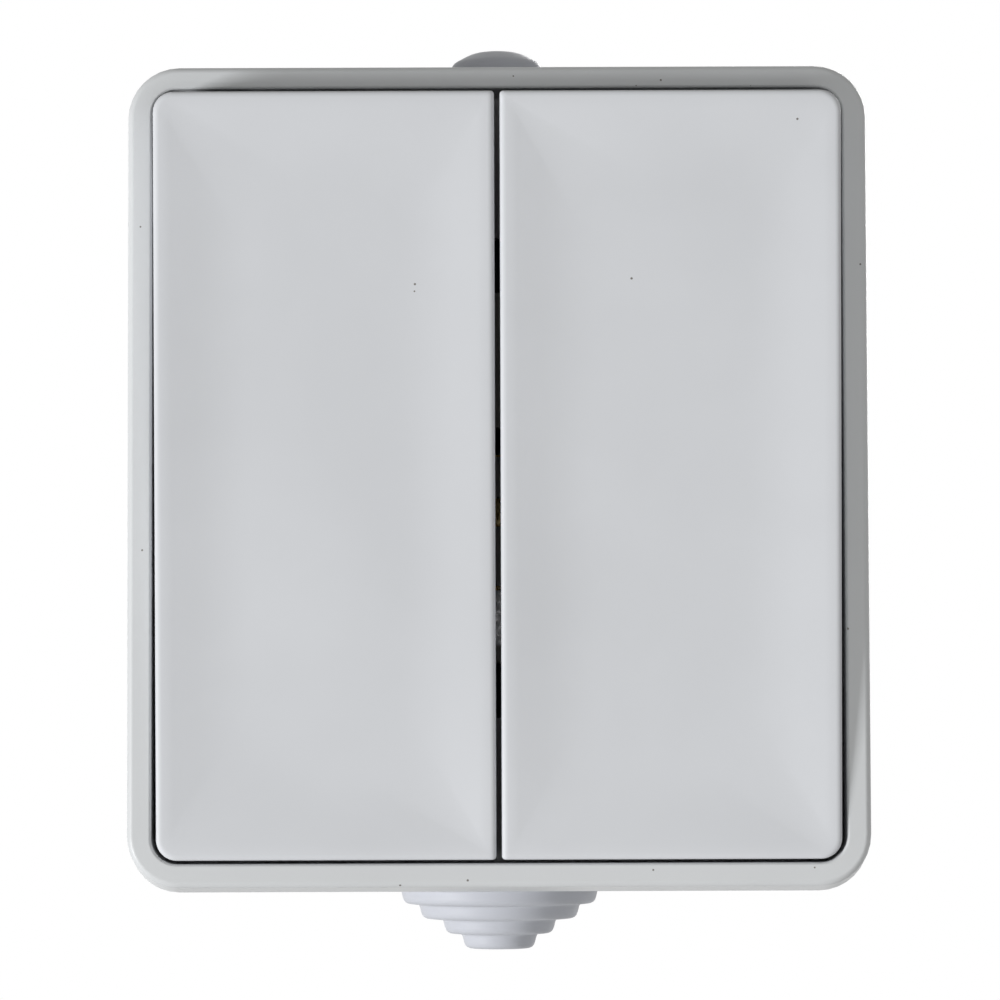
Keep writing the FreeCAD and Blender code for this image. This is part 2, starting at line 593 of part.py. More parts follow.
def make_cover():
    """Front cover: flared sides, the sloping band, the well for the rockers and its inner plate."""
    body = new_body("front_cover")
    rear = sketch_on(body, "rear", "XZ_Plane", SKIRT_REAR)
    rounded(rear, "(cover_width + 2 * skirt_flare)", "(cover_height + 2 * skirt_flare)", "cover_corner")
    edge = sketch_on(body, "edge", "XZ_Plane", BEVEL_FRONT)
    rounded(edge, "cover_width", "cover_height", "cover_corner")
    loft(body, "sides", rear, edge)
    foot = sketch_on(body, "foot", "XZ_Plane", BEVEL_FRONT)
    rounded(foot, "cover_width", "cover_height", "cover_corner")
    lip = sketch_on(body, "lip", "XZ_Plane", "cover_front", rise=OPENING_MIDDLE)
    rounded(
        lip,
        f"({OPENING_WIDTH} + 2 * lip_land)",
        f"({OPENING_HEIGHT} + 2 * lip_land)",
        "(opening_corner + lip_land)",
    )
    bevel = loft(body, "bevel", foot, lip)
    fillet(body, "soft_edge", bevel, "cover_edge", lambda item: at_front(item, number(BEVEL_FRONT)))
    well = sketch_on(body, "well", "XZ_Plane", "cover_front", rise=OPENING_MIDDLE)
    rounded(well, OPENING_WIDTH, OPENING_HEIGHT, "opening_corner")
    pocket(body, "rocker_well", well, "well_depth")
    hollow = sketch_on(body, "hollow", "XZ_Plane", WEB_REAR)
    rounded(hollow, COVER_ROOM_WIDTH, COVER_ROOM_HEIGHT, f"({RIM_CORNER} + rim_clearance)")
    pocket(body, "box_room", hollow, f"{WEB_REAR} - {SKIRT_REAR} + cut_margin")
    window = sketch_on(body, "window", "XZ_Plane", WEB_FRONT)
    rectangle(
        window,
        (f"-({TURRET_SIDE} + window_side)", f"{TURRET_SIDE} + window_side"),
        (f"-({TURRET_END} + window_end)", f"{TURRET_END} + window_end"),
    )
    pocket(body, "mechanism_window", window, "web_thickness + cut_margin")
    holes = sketch_on(body, "holes", "XZ_Plane", WEB_FRONT)
    for x, z in corners_of(COLUMN_X, COLUMN_Z):
        circle(holes, x, z, "screw_radius + screw_passage")
    for side in (-1, 1):
        circle(holes, f"{side} * {BRACKET_SCREW}", "0", "head_radius + head_passage")
    pocket(body, "screw_passages", holes, "web_thickness + cut_margin")


def make_gasket():
    body = new_body("cover_gasket")
    ring = sketch_on(body, "ring", "XZ_Plane", RIM_FRONT)
    rounded(
        ring,
        f"({RIM_WIDTH} - 2 * gasket_margin)",
        f"({RIM_HEIGHT} - 2 * gasket_margin)",
        f"({RIM_CORNER} - gasket_margin)",
    )
    rounded(
        ring,
        f"({ROOM_WIDTH} + 2 * gasket_margin)",
        f"({ROOM_HEIGHT} + 2 * gasket_margin)",
        "(room_corner + gasket_margin)",
    )
    pad(body, "ring_pad", ring, "gasket_thickness")


def mirrored_down(points):
    """The same outline below the middle of the switch."""
    return [(u, f"-({v})") for u, v in points]


def make_gland():
    """Stepped rubber entry seal, closed at its tip, with a groove that grips the box wall."""
    body = new_body("cable_gland")
    radii = ["gland_first", "gland_second", "gland_third", "gland_fourth"]
    ends = [f"({BOSS_FACE} + gland_reach + {i} * gland_step)" for i in range(4)]
    collar = f"({BOSS_FACE} + collar_thickness)"
    throat = "entry_radius - seal_fit - gland_wall"
    outside = [
        ("entry_radius + seal_lip", f"{ENTRY_INSIDE} - seal_flange"),
        ("entry_radius + seal_lip", ENTRY_INSIDE),
        ("entry_radius - seal_fit", ENTRY_INSIDE),
        ("entry_radius - seal_fit", BOSS_FACE),
        ("gland_collar", BOSS_FACE),
        ("gland_collar", collar),
    ]
    inside = [(throat, f"{ENTRY_INSIDE} - seal_flange"), (throat, collar)]
    start = collar
    for radius, end in zip(radii, ends):
        outside += [(radius, start), (f"{radius} - gland_taper", end)]
        core = f"{radius} - gland_taper - gland_wall"
        inside += [(core, start if start == collar else f"{start} - gland_end"), (core, f"{end} - gland_end")]
        start = end
    tip = [("0", ends[-1]), ("0", f"{ends[-1]} - gland_end")]
    profile = sketch_on(body, "profile", "XZ_Plane", "entry_depth")
    polygon(profile, mirrored_down(outside + tip + inside[::-1]))
    turned = revolve(body, "turned", profile)

    def step_end(edge):
        beyond_collar = edge.BoundBox.ZMin < -number(collar) - TOUCHING
        return beyond_collar and any(is_ring(edge, f"{radius} - gland_taper") for radius in radii)

    fillet(body, "step_ends", turned, "gland_round", step_end)


def make_plug():
    """Blanking plug of the unused upper entry, with a low domed knob."""
    body = new_body("entry_plug")
    collar = f"({BOSS_FACE} + plug_collar_height)"
    slope = f"({collar} + plug_shoulder)"
    knob = f"({slope} + plug_knob_height)"
    crown = f"({knob} + plug_crown_height)"
    points = [
        ("entry_radius + seal_lip", f"{ENTRY_INSIDE} - seal_flange"),
        ("entry_radius + seal_lip", ENTRY_INSIDE),
        ("entry_radius - seal_fit", ENTRY_INSIDE),
        ("entry_radius - seal_fit", BOSS_FACE),
        ("plug_collar", BOSS_FACE),
        ("plug_collar", collar),
        ("plug_neck", slope),
        ("plug_knob", slope),
        ("plug_knob", knob),
        ("plug_crown", knob),
        ("plug_flat", crown),
        ("0", crown),
        ("0", collar),
        ("entry_radius - seal_fit - gland_wall", BOSS_FACE),
        ("entry_radius - seal_fit - gland_wall", f"{ENTRY_INSIDE} - seal_flange"),
    ]
    profile = sketch_on(body, "profile", "XZ_Plane", "entry_depth")
    polygon(profile, points)
    turned = revolve(body, "turned", profile)

    def soft(edge):
        knob_edge = is_ring(edge, "plug_knob") and abs(edge.BoundBox.ZMin - number(knob)) < TOUCHING
        return knob_edge or is_ring(edge, "plug_flat")

    fillet(body, "soft_knob", turned, "gland_round", soft)


def side_name(side):
    return "left" if side < 0 else "right"


def span(side, inner, outer):
    """Two values of X for one side, in rising order."""
    first, second = (f"-({outer})", f"-({inner})") if side < 0 else (inner, outer)
    return (first, second)


def gang(side, offset):
    """A value of X counted from the middle of one gang."""
    return f"({side} * {GANG} + ({offset}))"


def make_rocker(side):
    """Rocker: a dished face with a rising border, rounded edges, deep sides, ribs and two hooks."""
    body = new_body(f"rocker_{side_name(side)}")
    seam_x = f"{side} * seam / 2"
    outer_x = f"{side} * (seam / 2 + {ROCKER_WIDTH})"
    half = f"({ROCKER_LENGTH} / 2)"
    across = (seam_x, outer_x) if side > 0 else (outer_x, seam_x)
    plan = sketch_on(body, "plan", "XZ_Plane", ROCKER_REAR)
    rectangle(plan, across, (f"-{half}", half))
    slab = pad(body, "slab", plan, f"{ROCKER_FRONT} - {ROCKER_REAR}")
    far = abs(number(outer_x))

    def upright(edge, near_x):
        box = edge.BoundBox
        return box.YLength > 1 and box.XLength < TOUCHING and abs(abs(box.XMin) - near_x) < TOUCHING

    outer = fillet(body, "outer_corners", slab, "rocker_corner", lambda edge: upright(edge, far))
    near = number("seam / 2")
    seam_corners = fillet(body, "seam_corners", outer, "seam_corner", lambda edge: upright(edge, near))
    fillet(
        body,
        "face_edge",
        seam_corners,
        "rocker_edge",
        lambda edge: at_front(edge, number(ROCKER_FRONT)),
    )
    brim = sketch_on(body, "brim", "XZ_Plane", ROCKER_FRONT)
    floor = sketch_on(body, "dish_floor", "XZ_Plane", "pivot_depth")
    for sketch, inset in ((brim, "brim_width"), (floor, "dish_border")):
        inner, outer = f"seam / 2 + {inset}", f"seam / 2 + {ROCKER_WIDTH} - {inset}"
        rectangle(sketch, span(side, inner, outer), (f"-({half} - {inset})", f"{half} - {inset}"))
    doc.recompute()
    before = body.Shape.Volume
    loft(body, "dish", brim, floor, cut=True)
    doc.recompute()
    if body.Shape.Volume > before - 1:
        raise RuntimeError("the face was not dished")
    hollow = sketch_on(body, "hollow", "XZ_Plane", ROCKER_BACK)
    inner, outer = "seam / 2 + rocker_wall", f"seam / 2 + {ROCKER_WIDTH} - rocker_wall"
    rectangle(hollow, span(side, inner, outer), (f"-({half} - rocker_wall)", f"{half} - rocker_wall"))
    pocket(body, "underside", hollow, f"{ROCKER_BACK} - {ROCKER_REAR} + cut_margin")
    ribs = sketch_on(body, "ribs", "XZ_Plane", f"{ROCKER_BACK} - rib_height")
    for end in (-1, 1):
        low, high = f"{end} * rib_place - rib_thickness / 2", f"{end} * rib_place + rib_thickness / 2"
        rectangle(ribs, span(side, inner, outer), (low, high))
    pad(body, "cross_ribs", ribs, "rib_height")
    for end, name in ((-1, "lower"), (1, "upper")):
        hook = sketch_on(body, f"{name}_hook", "YZ_Plane", gang(side, "-hook_width / 2"))
        grip = f"({DECK_REAR} - hook_slack)"
        inside = "deck_length / 2 + hook_slack"
        points = [
            (f"-({ROCKER_BACK})", inside),
            (f"-{grip}", inside),
            (f"-{grip}", f"{inside} - hook_nose"),
            (f"-({grip} - hook_tail)", inside),
            (f"-({grip} - hook_tail)", f"{inside} + hook_thickness"),
            (f"-({ROCKER_BACK})", f"{inside} + hook_thickness"),
        ]
        polygon(hook, [(u, f"{end} * ({v})") for u, v in points])
        pad(body, f"{name}_hook_pad", hook, "hook_width")
    tilt(body, PIVOT, "rest_tilt")


def make_cradle(side):
    """Cradle under a rocker: clip plate, side arms with trunnions and the plunger's tube."""
    name = f"cradle_{side_name(side)}"
    solids = [
        block(
            f"{name}_deck",
            (gang(side, f"-{DECK_SIDE}"), gang(side, DECK_SIDE)),
            (DECK_REAR, ROCKER_BACK),
            ("-deck_length / 2", "deck_length / 2"),
        ),
        post(f"{name}_stem", "stem_radius", ("-stem_reach", ROCKER_BACK), gang(side, "0"), "0"),
        block(
            f"{name}_web",
            (gang(side, f"-{DECK_SIDE}"), gang(side, DECK_SIDE)),
            ("-cheek_below", DECK_REAR),
            ("-web_rib / 2", "web_rib / 2"),
        ),
    ]
    for end in (-1, 1):
        arm = span(end, f"{DECK_SIDE} - cheek_thickness", DECK_SIDE)
        solids.append(
            block(
                f"{name}_arm_{side_name(end)}",
                (gang(side, arm[0]), gang(side, arm[1])),
                ("-cheek_below", DECK_REAR),
                ("-cheek_half", "cheek_half"),
            )
        )
        pin = span(end, f"{DECK_SIDE} - trunnion_root", f"{DECK_SIDE} + trunnion_length")
        solids.append(
            rod(
                f"{name}_trunnion_{side_name(end)}",
                "trunnion_radius",
                "trunnion_length + trunnion_root",
                gang(side, pin[0]),
                "0",
                "0",
                "right",
            )
        )
    bore = post(f"{name}_bore", BORE_RADIUS, ("-stem_reach - cut_margin", "stem_blind"), gang(side, "0"), "0")
    item = without(name, joined(f"{name}_solid", solids), [bore])
    tilt(item, PIVOT, "rest_tilt")
    labelled(item, name)


def make_plunger(side):
    """Sprung plunger in the cradle's tube."""
    body = new_body(f"plunger_{side_name(side)}")
    guide_end = "(plunger_shoulder + plunger_guide)"
    cone_end = f"({guide_end} + plunger_cone)"
    points = [
        ("0", "plunger_shoulder - plunger_pip"),
        ("plunger_pip_radius", "plunger_shoulder - plunger_pip"),
        ("plunger_pip_radius", "plunger_shoulder"),
        ("plunger_radius", "plunger_shoulder"),
        ("plunger_radius", guide_end),
        ("plunger_nose", cone_end),
        ("plunger_nose", "plunger_reach - plunger_slope"),
        ("plunger_tip", "plunger_reach"),
        ("0", "plunger_reach"),
    ]
    profile = sketch_on(body, "profile", "XY_Plane", "0", gang(side, "0"))
    polygon(profile, points)
    revolve(body, "turned", profile)
    tilt(body, PIVOT, "rest_tilt")


def make_spring(side):
    """Compression spring between the tube's blind end and the plunger's shoulder."""
    body = new_body(f"spring_{side_name(side)}")
    low = "(-stem_blind + spring_wire + spring_seat)"
    high = "(plunger_shoulder - spring_wire - spring_seat)"
    profile = sketch_on(body, "wire", "XY_Plane", "0", gang(side, "0"))
    circle(profile, "spring_radius", low, "spring_wire")
    coil = feature(body, "AdditiveHelix", "coil", profile)
    coil.ReferenceAxis = (profile, ["V_Axis"])
    coil.Mode = "pitch-height-angle"
    bind(coil, "Pitch", f"({high} - {low}) / spring_turns")
    bind(coil, "Height", f"{high} - {low}")
    coil.Angle = 0
    tilt(body, PIVOT, "rest_tilt")


def make_contact_arm(side):
    """See-saw contact strip with its saddle and, near its lower end, a silver rivet."""
    name = f"contact_arm_{side_name(side)}"
    across = (gang(side, "-arm_half_width"), gang(side, "arm_half_width"))
    length = ("-arm_half_length", "arm_half_length")
    strip = block(f"{name}_strip", across, (f"-({ARM_REAR})", "arm_front"), length)
    saddle = block(f"{name}_saddle", across, ("-saddle_depth", "arm_front"), ("-saddle_half", "saddle_half"))
    bore = rod(
        f"{name}_bore",
        "fulcrum_radius + fulcrum_clearance",
        "2 * (arm_half_width + cut_margin)",
        gang(side, "-arm_half_width - cut_margin"),
        "0",
        "0",
        "right",
    )
    middle = gang(side, "0")
    through = ("-cut_margin", "arm_front + cut_margin")
    eye = post(f"{name}_eye", "contact_shank", through, middle, f"-{CONTACT_REACH}")
    arm = without(name, joined(f"{name}_solid", [strip, saddle]), [bore, eye])
    rivet_name = f"moving_contact_{side_name(side)}"
    head = f"-({ARM_REAR}) - contact_head"
    head_depth = (head, f"-({ARM_REAR})")
    shank_depth = (head, "arm_front + rivet_tail")
    parts = [
        post(f"{rivet_name}_head", "contact_radius", head_depth, middle, f"-{CONTACT_REACH}"),
        post(f"{rivet_name}_shank", "contact_shank", shank_depth, middle, f"-{CONTACT_REACH}"),
    ]
    rivet = joined(rivet_name, parts)
    for item, label in ((arm, name), (rivet, rivet_name)):
        tilt(item, FULCRUM, ARM_TILT, lower_end_in=False)
        labelled(item, label)


def make_busbar():
    """Common strip: a tab to its clamp, and for each gang a fork with the pin that the arm rocks on."""
    fork = "(arm_half_width + tine_gap)"
    reach = f"({GANG} + {fork} + tine_thickness)"
    level = (STRIP_REAR, STRIP_FRONT)
    solids = [
        block("busbar_strip", (f"-{reach}", reach), level, ("-busbar_half_height", "busbar_half_height")),
        block(
            "busbar_tab",
            ("-strip_half_width", "strip_half_width"),
            level,
            (STRIP_FOOT, "0"),
        ),
    ]
    for side in (-1, 1):
        for end in (-1, 1):
            inner, outer = span(end, fork, f"{fork} + tine_thickness")
            x = (gang(side, inner), gang(side, outer))
            name = f"tine_{side_name(side)}_{side_name(end)}"
            solids.append(block(name, x, (STRIP_REAR, FULCRUM), ("-tine_half", "tine_half")))
            solids.append(
                rod(f"{name}_eye", "tine_half", "tine_thickness", gang(side, inner), FULCRUM, "0", "right")
            )
        solids.append(
            rod(
                f"fulcrum_{side_name(side)}",
                "fulcrum_radius",
                f"2 * {fork} + tine_thickness",
                gang(side, f"-{fork} - tine_thickness / 2"),
                FULCRUM,
                "0",
                "right",
            )
        )
    labelled(joined("common_busbar", solids), "common_busbar")


def make_output(side):
    """Output strip with its fixed contact rivet."""
    name = f"output_terminal_{side_name(side)}"
    strip = block(
        f"{name}_strip",
        (gang(side, "-strip_half_width"), gang(side, "strip_half_width")),
        (STRIP_REAR, STRIP_FRONT),
        (STRIP_FOOT, f"-({CONTACT_REACH} - output_tail)"),
    )
    middle = gang(side, "0")
    through = (f"{STRIP_REAR} - cut_margin", f"{STRIP_FRONT} + cut_margin")
    eye = post(f"{name}_eye", "contact_shank", through, middle, f"-{CONTACT_REACH}")
    labelled(without(name, strip, [eye]), name)
    rivet = f"fixed_contact_{side_name(side)}"
    parts = [
        post(f"{rivet}_head", "contact_radius", (STRIP_FRONT, CONTACT_FACE), middle, f"-{CONTACT_REACH}"),
        post(f"{rivet}_shank", "contact_shank", (STRIP_REAR, CONTACT_FACE), middle, f"-{CONTACT_REACH}"),
    ]
    labelled(joined(rivet, parts), rivet)


def make_clamps():
    """Three cage clamps and their screws."""
    cages = []
    screws = []
    foot, top = f"-{CLAMP_DROP} - clamp_half_height", f"-{CLAMP_DROP} + clamp_half_height"
    for name, x in TERMINALS:
        cage = block(
            f"clamp_{name}_cage",
            (f"{x} - clamp_half_width", f"{x} + clamp_half_width"),
            (CLAMP_REAR, CLAMP_FRONT),
            (foot, top),
        )
        way = block(
            f"clamp_{name}_way",
            (f"{x} - clamp_half_width + clamp_side", f"{x} + clamp_half_width - clamp_side"),
            (STRIP_REAR, f"{STRIP_REAR} + clamp_window"),
            (f"{foot} - cut_margin", f"{top} + cut_margin"),
        )
        tap = post(
            f"clamp_{name}_tap",
            "clamp_screw + screw_clearance",
            (f"{CLAMP_FRONT} - clamp_wall - cut_margin", f"{CLAMP_FRONT} + cut_margin"),
            x,
            f"-{CLAMP_DROP}",
        )
        cages.append(without(f"clamp_{name}", cage, [way, tap]))
        head_rear = f"({CLAMP_FRONT} + clamp_head_gap)"
        head_front = f"({head_rear} + clamp_head_height)"
        shank_depth = (f"{STRIP_FRONT} + clamp_lift", head_front)
        shank = post(f"clamp_{name}_shank", "clamp_screw", shank_depth, x, f"-{CLAMP_DROP}")
        head = post(f"clamp_{name}_head", "clamp_head", (head_rear, head_front), x, f"-{CLAMP_DROP}")
        slot = block(
            f"clamp_{name}_slot",
            (f"{x} - clamp_head - cut_margin", f"{x} + clamp_head + cut_margin"),
            (f"{head_front} - slot_depth", f"{head_front} + cut_margin"),
            (f"-{CLAMP_DROP} - slot_width / 2", f"-{CLAMP_DROP} + slot_width / 2"),
        )
        screws.append(without(f"clamp_{name}_screw", joined(f"clamp_{name}_blank", [shank, head]), [slot]))
    labelled(group("terminal_clamps", cages), "terminal_clamps")
    labelled(group("terminal_screws", screws), "terminal_screws")


def machine_screw(name, x, z, seat):
    """Pan-head screw whose head sits on a depth, with a cross slot."""
    head_front = f"({seat} + head_height)"
    shank = post(f"{name}_shank", "screw_radius", (f"{seat} - screw_bite", head_front), x, z)
    head = post(f"{name}_head", "head_radius", (seat, head_front), x, z)
    level = (f"{head_front} - slot_depth", f"{head_front} + cut_margin")
    wide = block(
        f"{name}_slot_level",
        (f"{x} - slot_half", f"{x} + slot_half"),
        level,
        (f"{z} - slot_width / 2", f"{z} + slot_width / 2"),
    )
    tall = block(
        f"{name}_slot_upright",
        (f"{x} - slot_width / 2", f"{x} + slot_width / 2"),
        level,
        (f"{z} - slot_half", f"{z} + slot_half"),
    )
    return without(name, joined(f"{name}_blank", [shank, head]), [wide, tall])


def make_screws():
    covers = [
        machine_screw(f"cover_screw_{i}", x, z, WEB_FRONT)
        for i, (x, z) in enumerate(corners_of(COLUMN_X, COLUMN_Z), start=1)
    ]
    labelled(group("cover_screws", covers), "cover_screws")
    inner = [
        machine_screw(f"mechanism_screw_{side_name(side)}", f"{side} * {BRACKET_SCREW}", "0", BRACKET_FRONT)
        for side in (-1, 1)
    ]
    labelled(group("mechanism_screws", inner), "mechanism_screws")


def make_housing():
    """Mechanism housing: an open tray with supports for the strips, arm stops and wire holes."""
    wide, high = HOUSING_SIDE, HOUSING_END
    shell = block("housing_shell", (f"-{wide}", wide), (HOUSING_REAR, LID_REAR), (f"-{high}", high))
    room = block(
        "housing_room",
        (f"-{wide} + housing_wall", f"{wide} - housing_wall"),
        (HOUSING_FLOOR, f"{LID_REAR} + cut_margin"),
        (f"-{high} + housing_wall", f"{high} - housing_wall"),
    )
    tray = without("housing_tray", shell, [room])
    supports = []
    sunk = f"({HOUSING_FLOOR} - housing_wall / 2)"
    for name, x in TERMINALS:
        supports.append(
            block(
                f"support_{name}_clamp",
                (f"{x} - support_half", f"{x} + support_half"),
                (sunk, CLAMP_REAR),
                (f"-{CLAMP_DROP} - support_half", f"-{CLAMP_DROP} + support_half"),
            )
        )
    for side in (-1, 1):
        label = side_name(side)
        x = (gang(side, "-support_half"), gang(side, "support_half"))
        rest = ("-support_half", "support_half")
        stop = (f"{STOP_REACH} - stop_half", f"{STOP_REACH} + stop_half")
        supports.append(block(f"support_{label}_busbar", x, (sunk, STRIP_REAR), rest))
        supports.append(block(f"support_{label}_stop", x, (sunk, STOP_FRONT), stop))
    bored = "housing_wall + 2 * cut_margin"
    start = f"-{high} - cut_margin"
    holes = [
        rod(f"wire_hole_{name}", "wire_hole", bored, x, WIRE_LEVEL, start, "up")
        for name, x in TERMINALS
    ]
    solid = joined("housing_solid", [tray] + supports)
    labelled(without("mechanism_housing", solid, holes), "mechanism_housing")


def make_lid():
    """Mechanism lid: flange, raised turret, snap-in bearing ears, windows for the stems and driver holes."""
    wide, high = TURRET_SIDE, TURRET_END
    flange_x = (f"-{HOUSING_SIDE}", HOUSING_SIDE)
    flange_z = (f"-{HOUSING_END}", HOUSING_END)
    through = (f"{TURRET_FRONT} - turret_wall - cut_margin", f"{TURRET_FRONT} + cut_margin")
    solids = [
        block("lid_flange", flange_x, (LID_REAR, BRACKET_REAR), flange_z),
        block("lid_turret", (f"-{wide}", wide), (LID_REAR, TURRET_FRONT), (f"-{high}", high)),
    ]
    cuts = [
        block(
            "lid_room",
            (f"-{wide} + turret_wall", f"{wide} - turret_wall"),
            (f"{LID_REAR} - cut_margin", f"{TURRET_FRONT} - turret_wall"),
            (f"-{high} + turret_wall", f"{high} - turret_wall"),
        )
    ]
    for side in (-1, 1):
        for end in (-1, 1):
            name = f"ear_{side_name(side)}_{side_name(end)}"
            inner, outer = span(end, EAR_START, EAR_END)
            x = (gang(side, inner), gang(side, outer))
            depth = (f"{TURRET_FRONT} - ear_root", f"{PIVOT} + ear_above")
            solids.append(block(name, x, depth, ("-ear_half", "ear_half")))
            bearing = rod(
                f"{name}_bearing",
                "trunnion_radius + trunnion_clearance",
                "ear_thickness + 2 * cut_margin",
                gang(side, f"{inner} - cut_margin"),
                PIVOT,
                "0",
                "right",
            )
            mouth = block(
                f"{name}_mouth",
                (gang(side, f"{inner} - cut_margin"), gang(side, f"{outer} + cut_margin")),
                (PIVOT, f"{PIVOT} + ear_above + cut_margin"),
                ("-snap_half", "snap_half"),
            )
            cuts += [bearing, mouth]
        cuts.append(post(f"stem_window_{side_name(side)}", STEM_HOLE, through, gang(side, "0"), "0"))
    for end, label in ((-1, "lower"), (1, "upper")):
        middle = f"{end} * core_slot_place"
        cuts.append(
            block(
                f"core_slot_{label}",
                ("-core_slot_width / 2", "core_slot_width / 2"),
                through,
                (f"{middle} - core_slot_height / 2", f"{middle} + core_slot_height / 2"),
            )
        )
    for name, x in TERMINALS:
        cuts.append(post(f"driver_hole_{name}", "driver_radius", through, x, f"-{CLAMP_DROP}"))
    labelled(without("mechanism_lid", joined("lid_solid", solids), cuts), "mechanism_lid")


def make_bracket():
    """Steel bracket over the lid's flange, screwed to two columns of the box."""
    body = new_body("mechanism_bracket")
    plan = sketch_on(body, "plan", "XZ_Plane", BRACKET_REAR)
    lug = f"({BRACKET_SCREW} + bracket_lug)"
    side_rail, end_rail = f"({TURRET_SIDE} + bracket_rail)", f"({TURRET_END} + bracket_end_rail)"
    quarter = [(side_rail, end_rail), (side_rail, "bracket_lug_half"), (lug, "bracket_lug_half")]
    right = quarter + [(x, f"-{z}") for x, z in quarter[::-1]]
    polygon(plan, right + [(f"-{x}", z) for x, z in right[::-1]])
    rectangle(
        plan,
        (f"-({TURRET_SIDE} + bracket_margin)", f"{TURRET_SIDE} + bracket_margin"),
        (f"-({TURRET_END} + bracket_margin)", f"{TURRET_END} + bracket_margin"),
    )
    for side in (-1, 1):
        circle(plan, f"{side} * {BRACKET_SCREW}", "0", "screw_radius + screw_passage")
    plate = pad(body, "plate", plan, "bracket_thickness")
    corner = number(lug)
    fillet(
        body,
        "corners",
        plate,
        "bracket_lug",
        lambda edge: edge.BoundBox.YLength > 0.5 and abs(abs(edge.BoundBox.XMin) - corner) < TOUCHING,
    )


def make_seal():
    """Rubber seal pressed between the bracket and the cover's inner plate."""
    body = new_body("mechanism_seal")
    ring = sketch_on(body, "ring", "XZ_Plane", BRACKET_FRONT)
    outer = (f"{TURRET_SIDE} + window_side + seal_margin", f"{TURRET_END} + window_end + seal_margin")
    inner = (f"{TURRET_SIDE} + seal_inside", f"{TURRET_END} + seal_inside")
    for wide, high in (outer, inner):
        rectangle(ring, (f"-({wide})", wide), (f"-({high})", high))
    pad(body, "ring_pad", ring, "seal_thickness")


make_box()
make_cover()
make_gasket()
make_gland()
make_plug()
make_housing()
make_lid()
make_bracket()
make_seal()
make_busbar()
make_clamps()
make_screws()
for hand in (-1, 1):
    make_output(hand)
    make_rocker(hand)
    make_cradle(hand)
    make_plunger(hand)
    make_spring(hand)
    make_contact_arm(hand)
doc.recompute()

for item in doc.Objects:
    if "Invalid" in item.State or "Error" in item.State:
        raise RuntimeError(f"{item.Label} failed")
for item in SUBPARTS:
    if item.Shape.isNull() or not item.Shape.isValid():
        raise RuntimeError(f"{item.Label} has no valid shape")

os.makedirs("parts", exist_ok=True)
for item in SUBPARTS:
    item.Shape.exportStep(f"parts/{item.Label}.step")
    print(f"{item.Label}: {item.Shape.Volume:.1f} mm3, {len(item.Shape.Solids)} solids")
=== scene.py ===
# %% [markdown]
# # An outdoor rocker switch
# This lesson dresses a surface-mounted weatherproof switch: a moulded box, a cover with a flat band all
# round and two tall rockers, with a stepped rubber gland below and a blanking plug above.
# The construction is already done and comes in as a fixed frame of solids, so what is left is the finish.
# Paint alone would do from afar, but the edges of solids are too sharp for a close look. So the pieces
# that the eye rests on are modelled again here with softer edges, and the rest keep their solids.

# %% Load the frame
import json
import math

import bpy
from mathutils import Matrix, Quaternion, Vector


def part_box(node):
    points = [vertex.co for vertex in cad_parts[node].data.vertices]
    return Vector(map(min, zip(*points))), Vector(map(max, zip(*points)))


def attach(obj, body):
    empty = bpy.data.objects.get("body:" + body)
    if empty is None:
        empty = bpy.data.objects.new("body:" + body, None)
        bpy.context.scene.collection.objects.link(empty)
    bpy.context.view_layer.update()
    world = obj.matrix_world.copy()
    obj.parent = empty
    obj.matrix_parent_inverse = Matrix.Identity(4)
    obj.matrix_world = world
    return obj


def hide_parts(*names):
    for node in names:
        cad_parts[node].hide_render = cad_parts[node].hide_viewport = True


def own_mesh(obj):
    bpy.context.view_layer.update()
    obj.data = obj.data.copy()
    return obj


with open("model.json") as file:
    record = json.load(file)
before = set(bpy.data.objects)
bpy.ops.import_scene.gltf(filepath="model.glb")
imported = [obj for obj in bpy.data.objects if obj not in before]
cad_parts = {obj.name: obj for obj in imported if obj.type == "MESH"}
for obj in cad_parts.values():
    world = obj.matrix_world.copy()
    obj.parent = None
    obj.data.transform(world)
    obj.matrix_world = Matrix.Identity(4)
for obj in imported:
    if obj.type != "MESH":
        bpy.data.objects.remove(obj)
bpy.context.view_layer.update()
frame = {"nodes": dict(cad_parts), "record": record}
MM = 0.001
joints = {joint["name"]: joint for joint in frame["record"]["behaviour"]["joints"]}

# %% [markdown]
# ## Camera
# The photograph was taken with a long lens, a little from below: the upper edge of the cover hides its
# own side, and a thin strip of the lower side shows. A camera can be dragged about until it fits, but it
# fits sooner when the distance and the height are chosen first. The lens length then follows from how
# large the cover stands in the picture. A little roll repeats the tilt of the photograph.

# %% Camera
LIP_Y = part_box("front_cover")[0].y
VIEW_DISTANCE, VIEW_HEIGHT = 420 * MM, -28 * MM
AIM = Vector((0.2 * MM, LIP_Y, -2.79 * MM))
ROLL = math.radians(-0.19)
SENSOR_WIDTH, LENS, NEAREST = 36, 150, 0.01
camera = bpy.data.objects.new("camera", bpy.data.cameras.new("camera"))
bpy.context.collection.objects.link(camera)
camera.data.sensor_width = SENSOR_WIDTH
camera.data.lens = LENS
camera.data.clip_start = NEAREST
camera.location = (AIM.x, LIP_Y - VIEW_DISTANCE, VIEW_HEIGHT)
look = (AIM - camera.location).to_track_quat("-Z", "Y")
camera.rotation_mode = "QUATERNION"
camera.rotation_quaternion = look @ Quaternion((0, 0, 1), ROLL)
bpy.context.scene.camera = camera
bpy.context.scene.view_settings.view_transform = "Standard"
print("camera at", [round(v, 3) for v in camera.location], "with a lens of", LENS)

# %% [markdown]
# ## What only the background rays see
# Behind the switch the photograph is white, yet the parts that no lamp reaches are dark. A white world at
# full strength would give the first and spoil the second. The light path tells the two apart. The helper
# gives one for rays that come from the camera, from gloss or through a clear surface, so that metal and
# glass see the same background, and nought for the rays that light the object. World and floor use it.

# %% Background rays


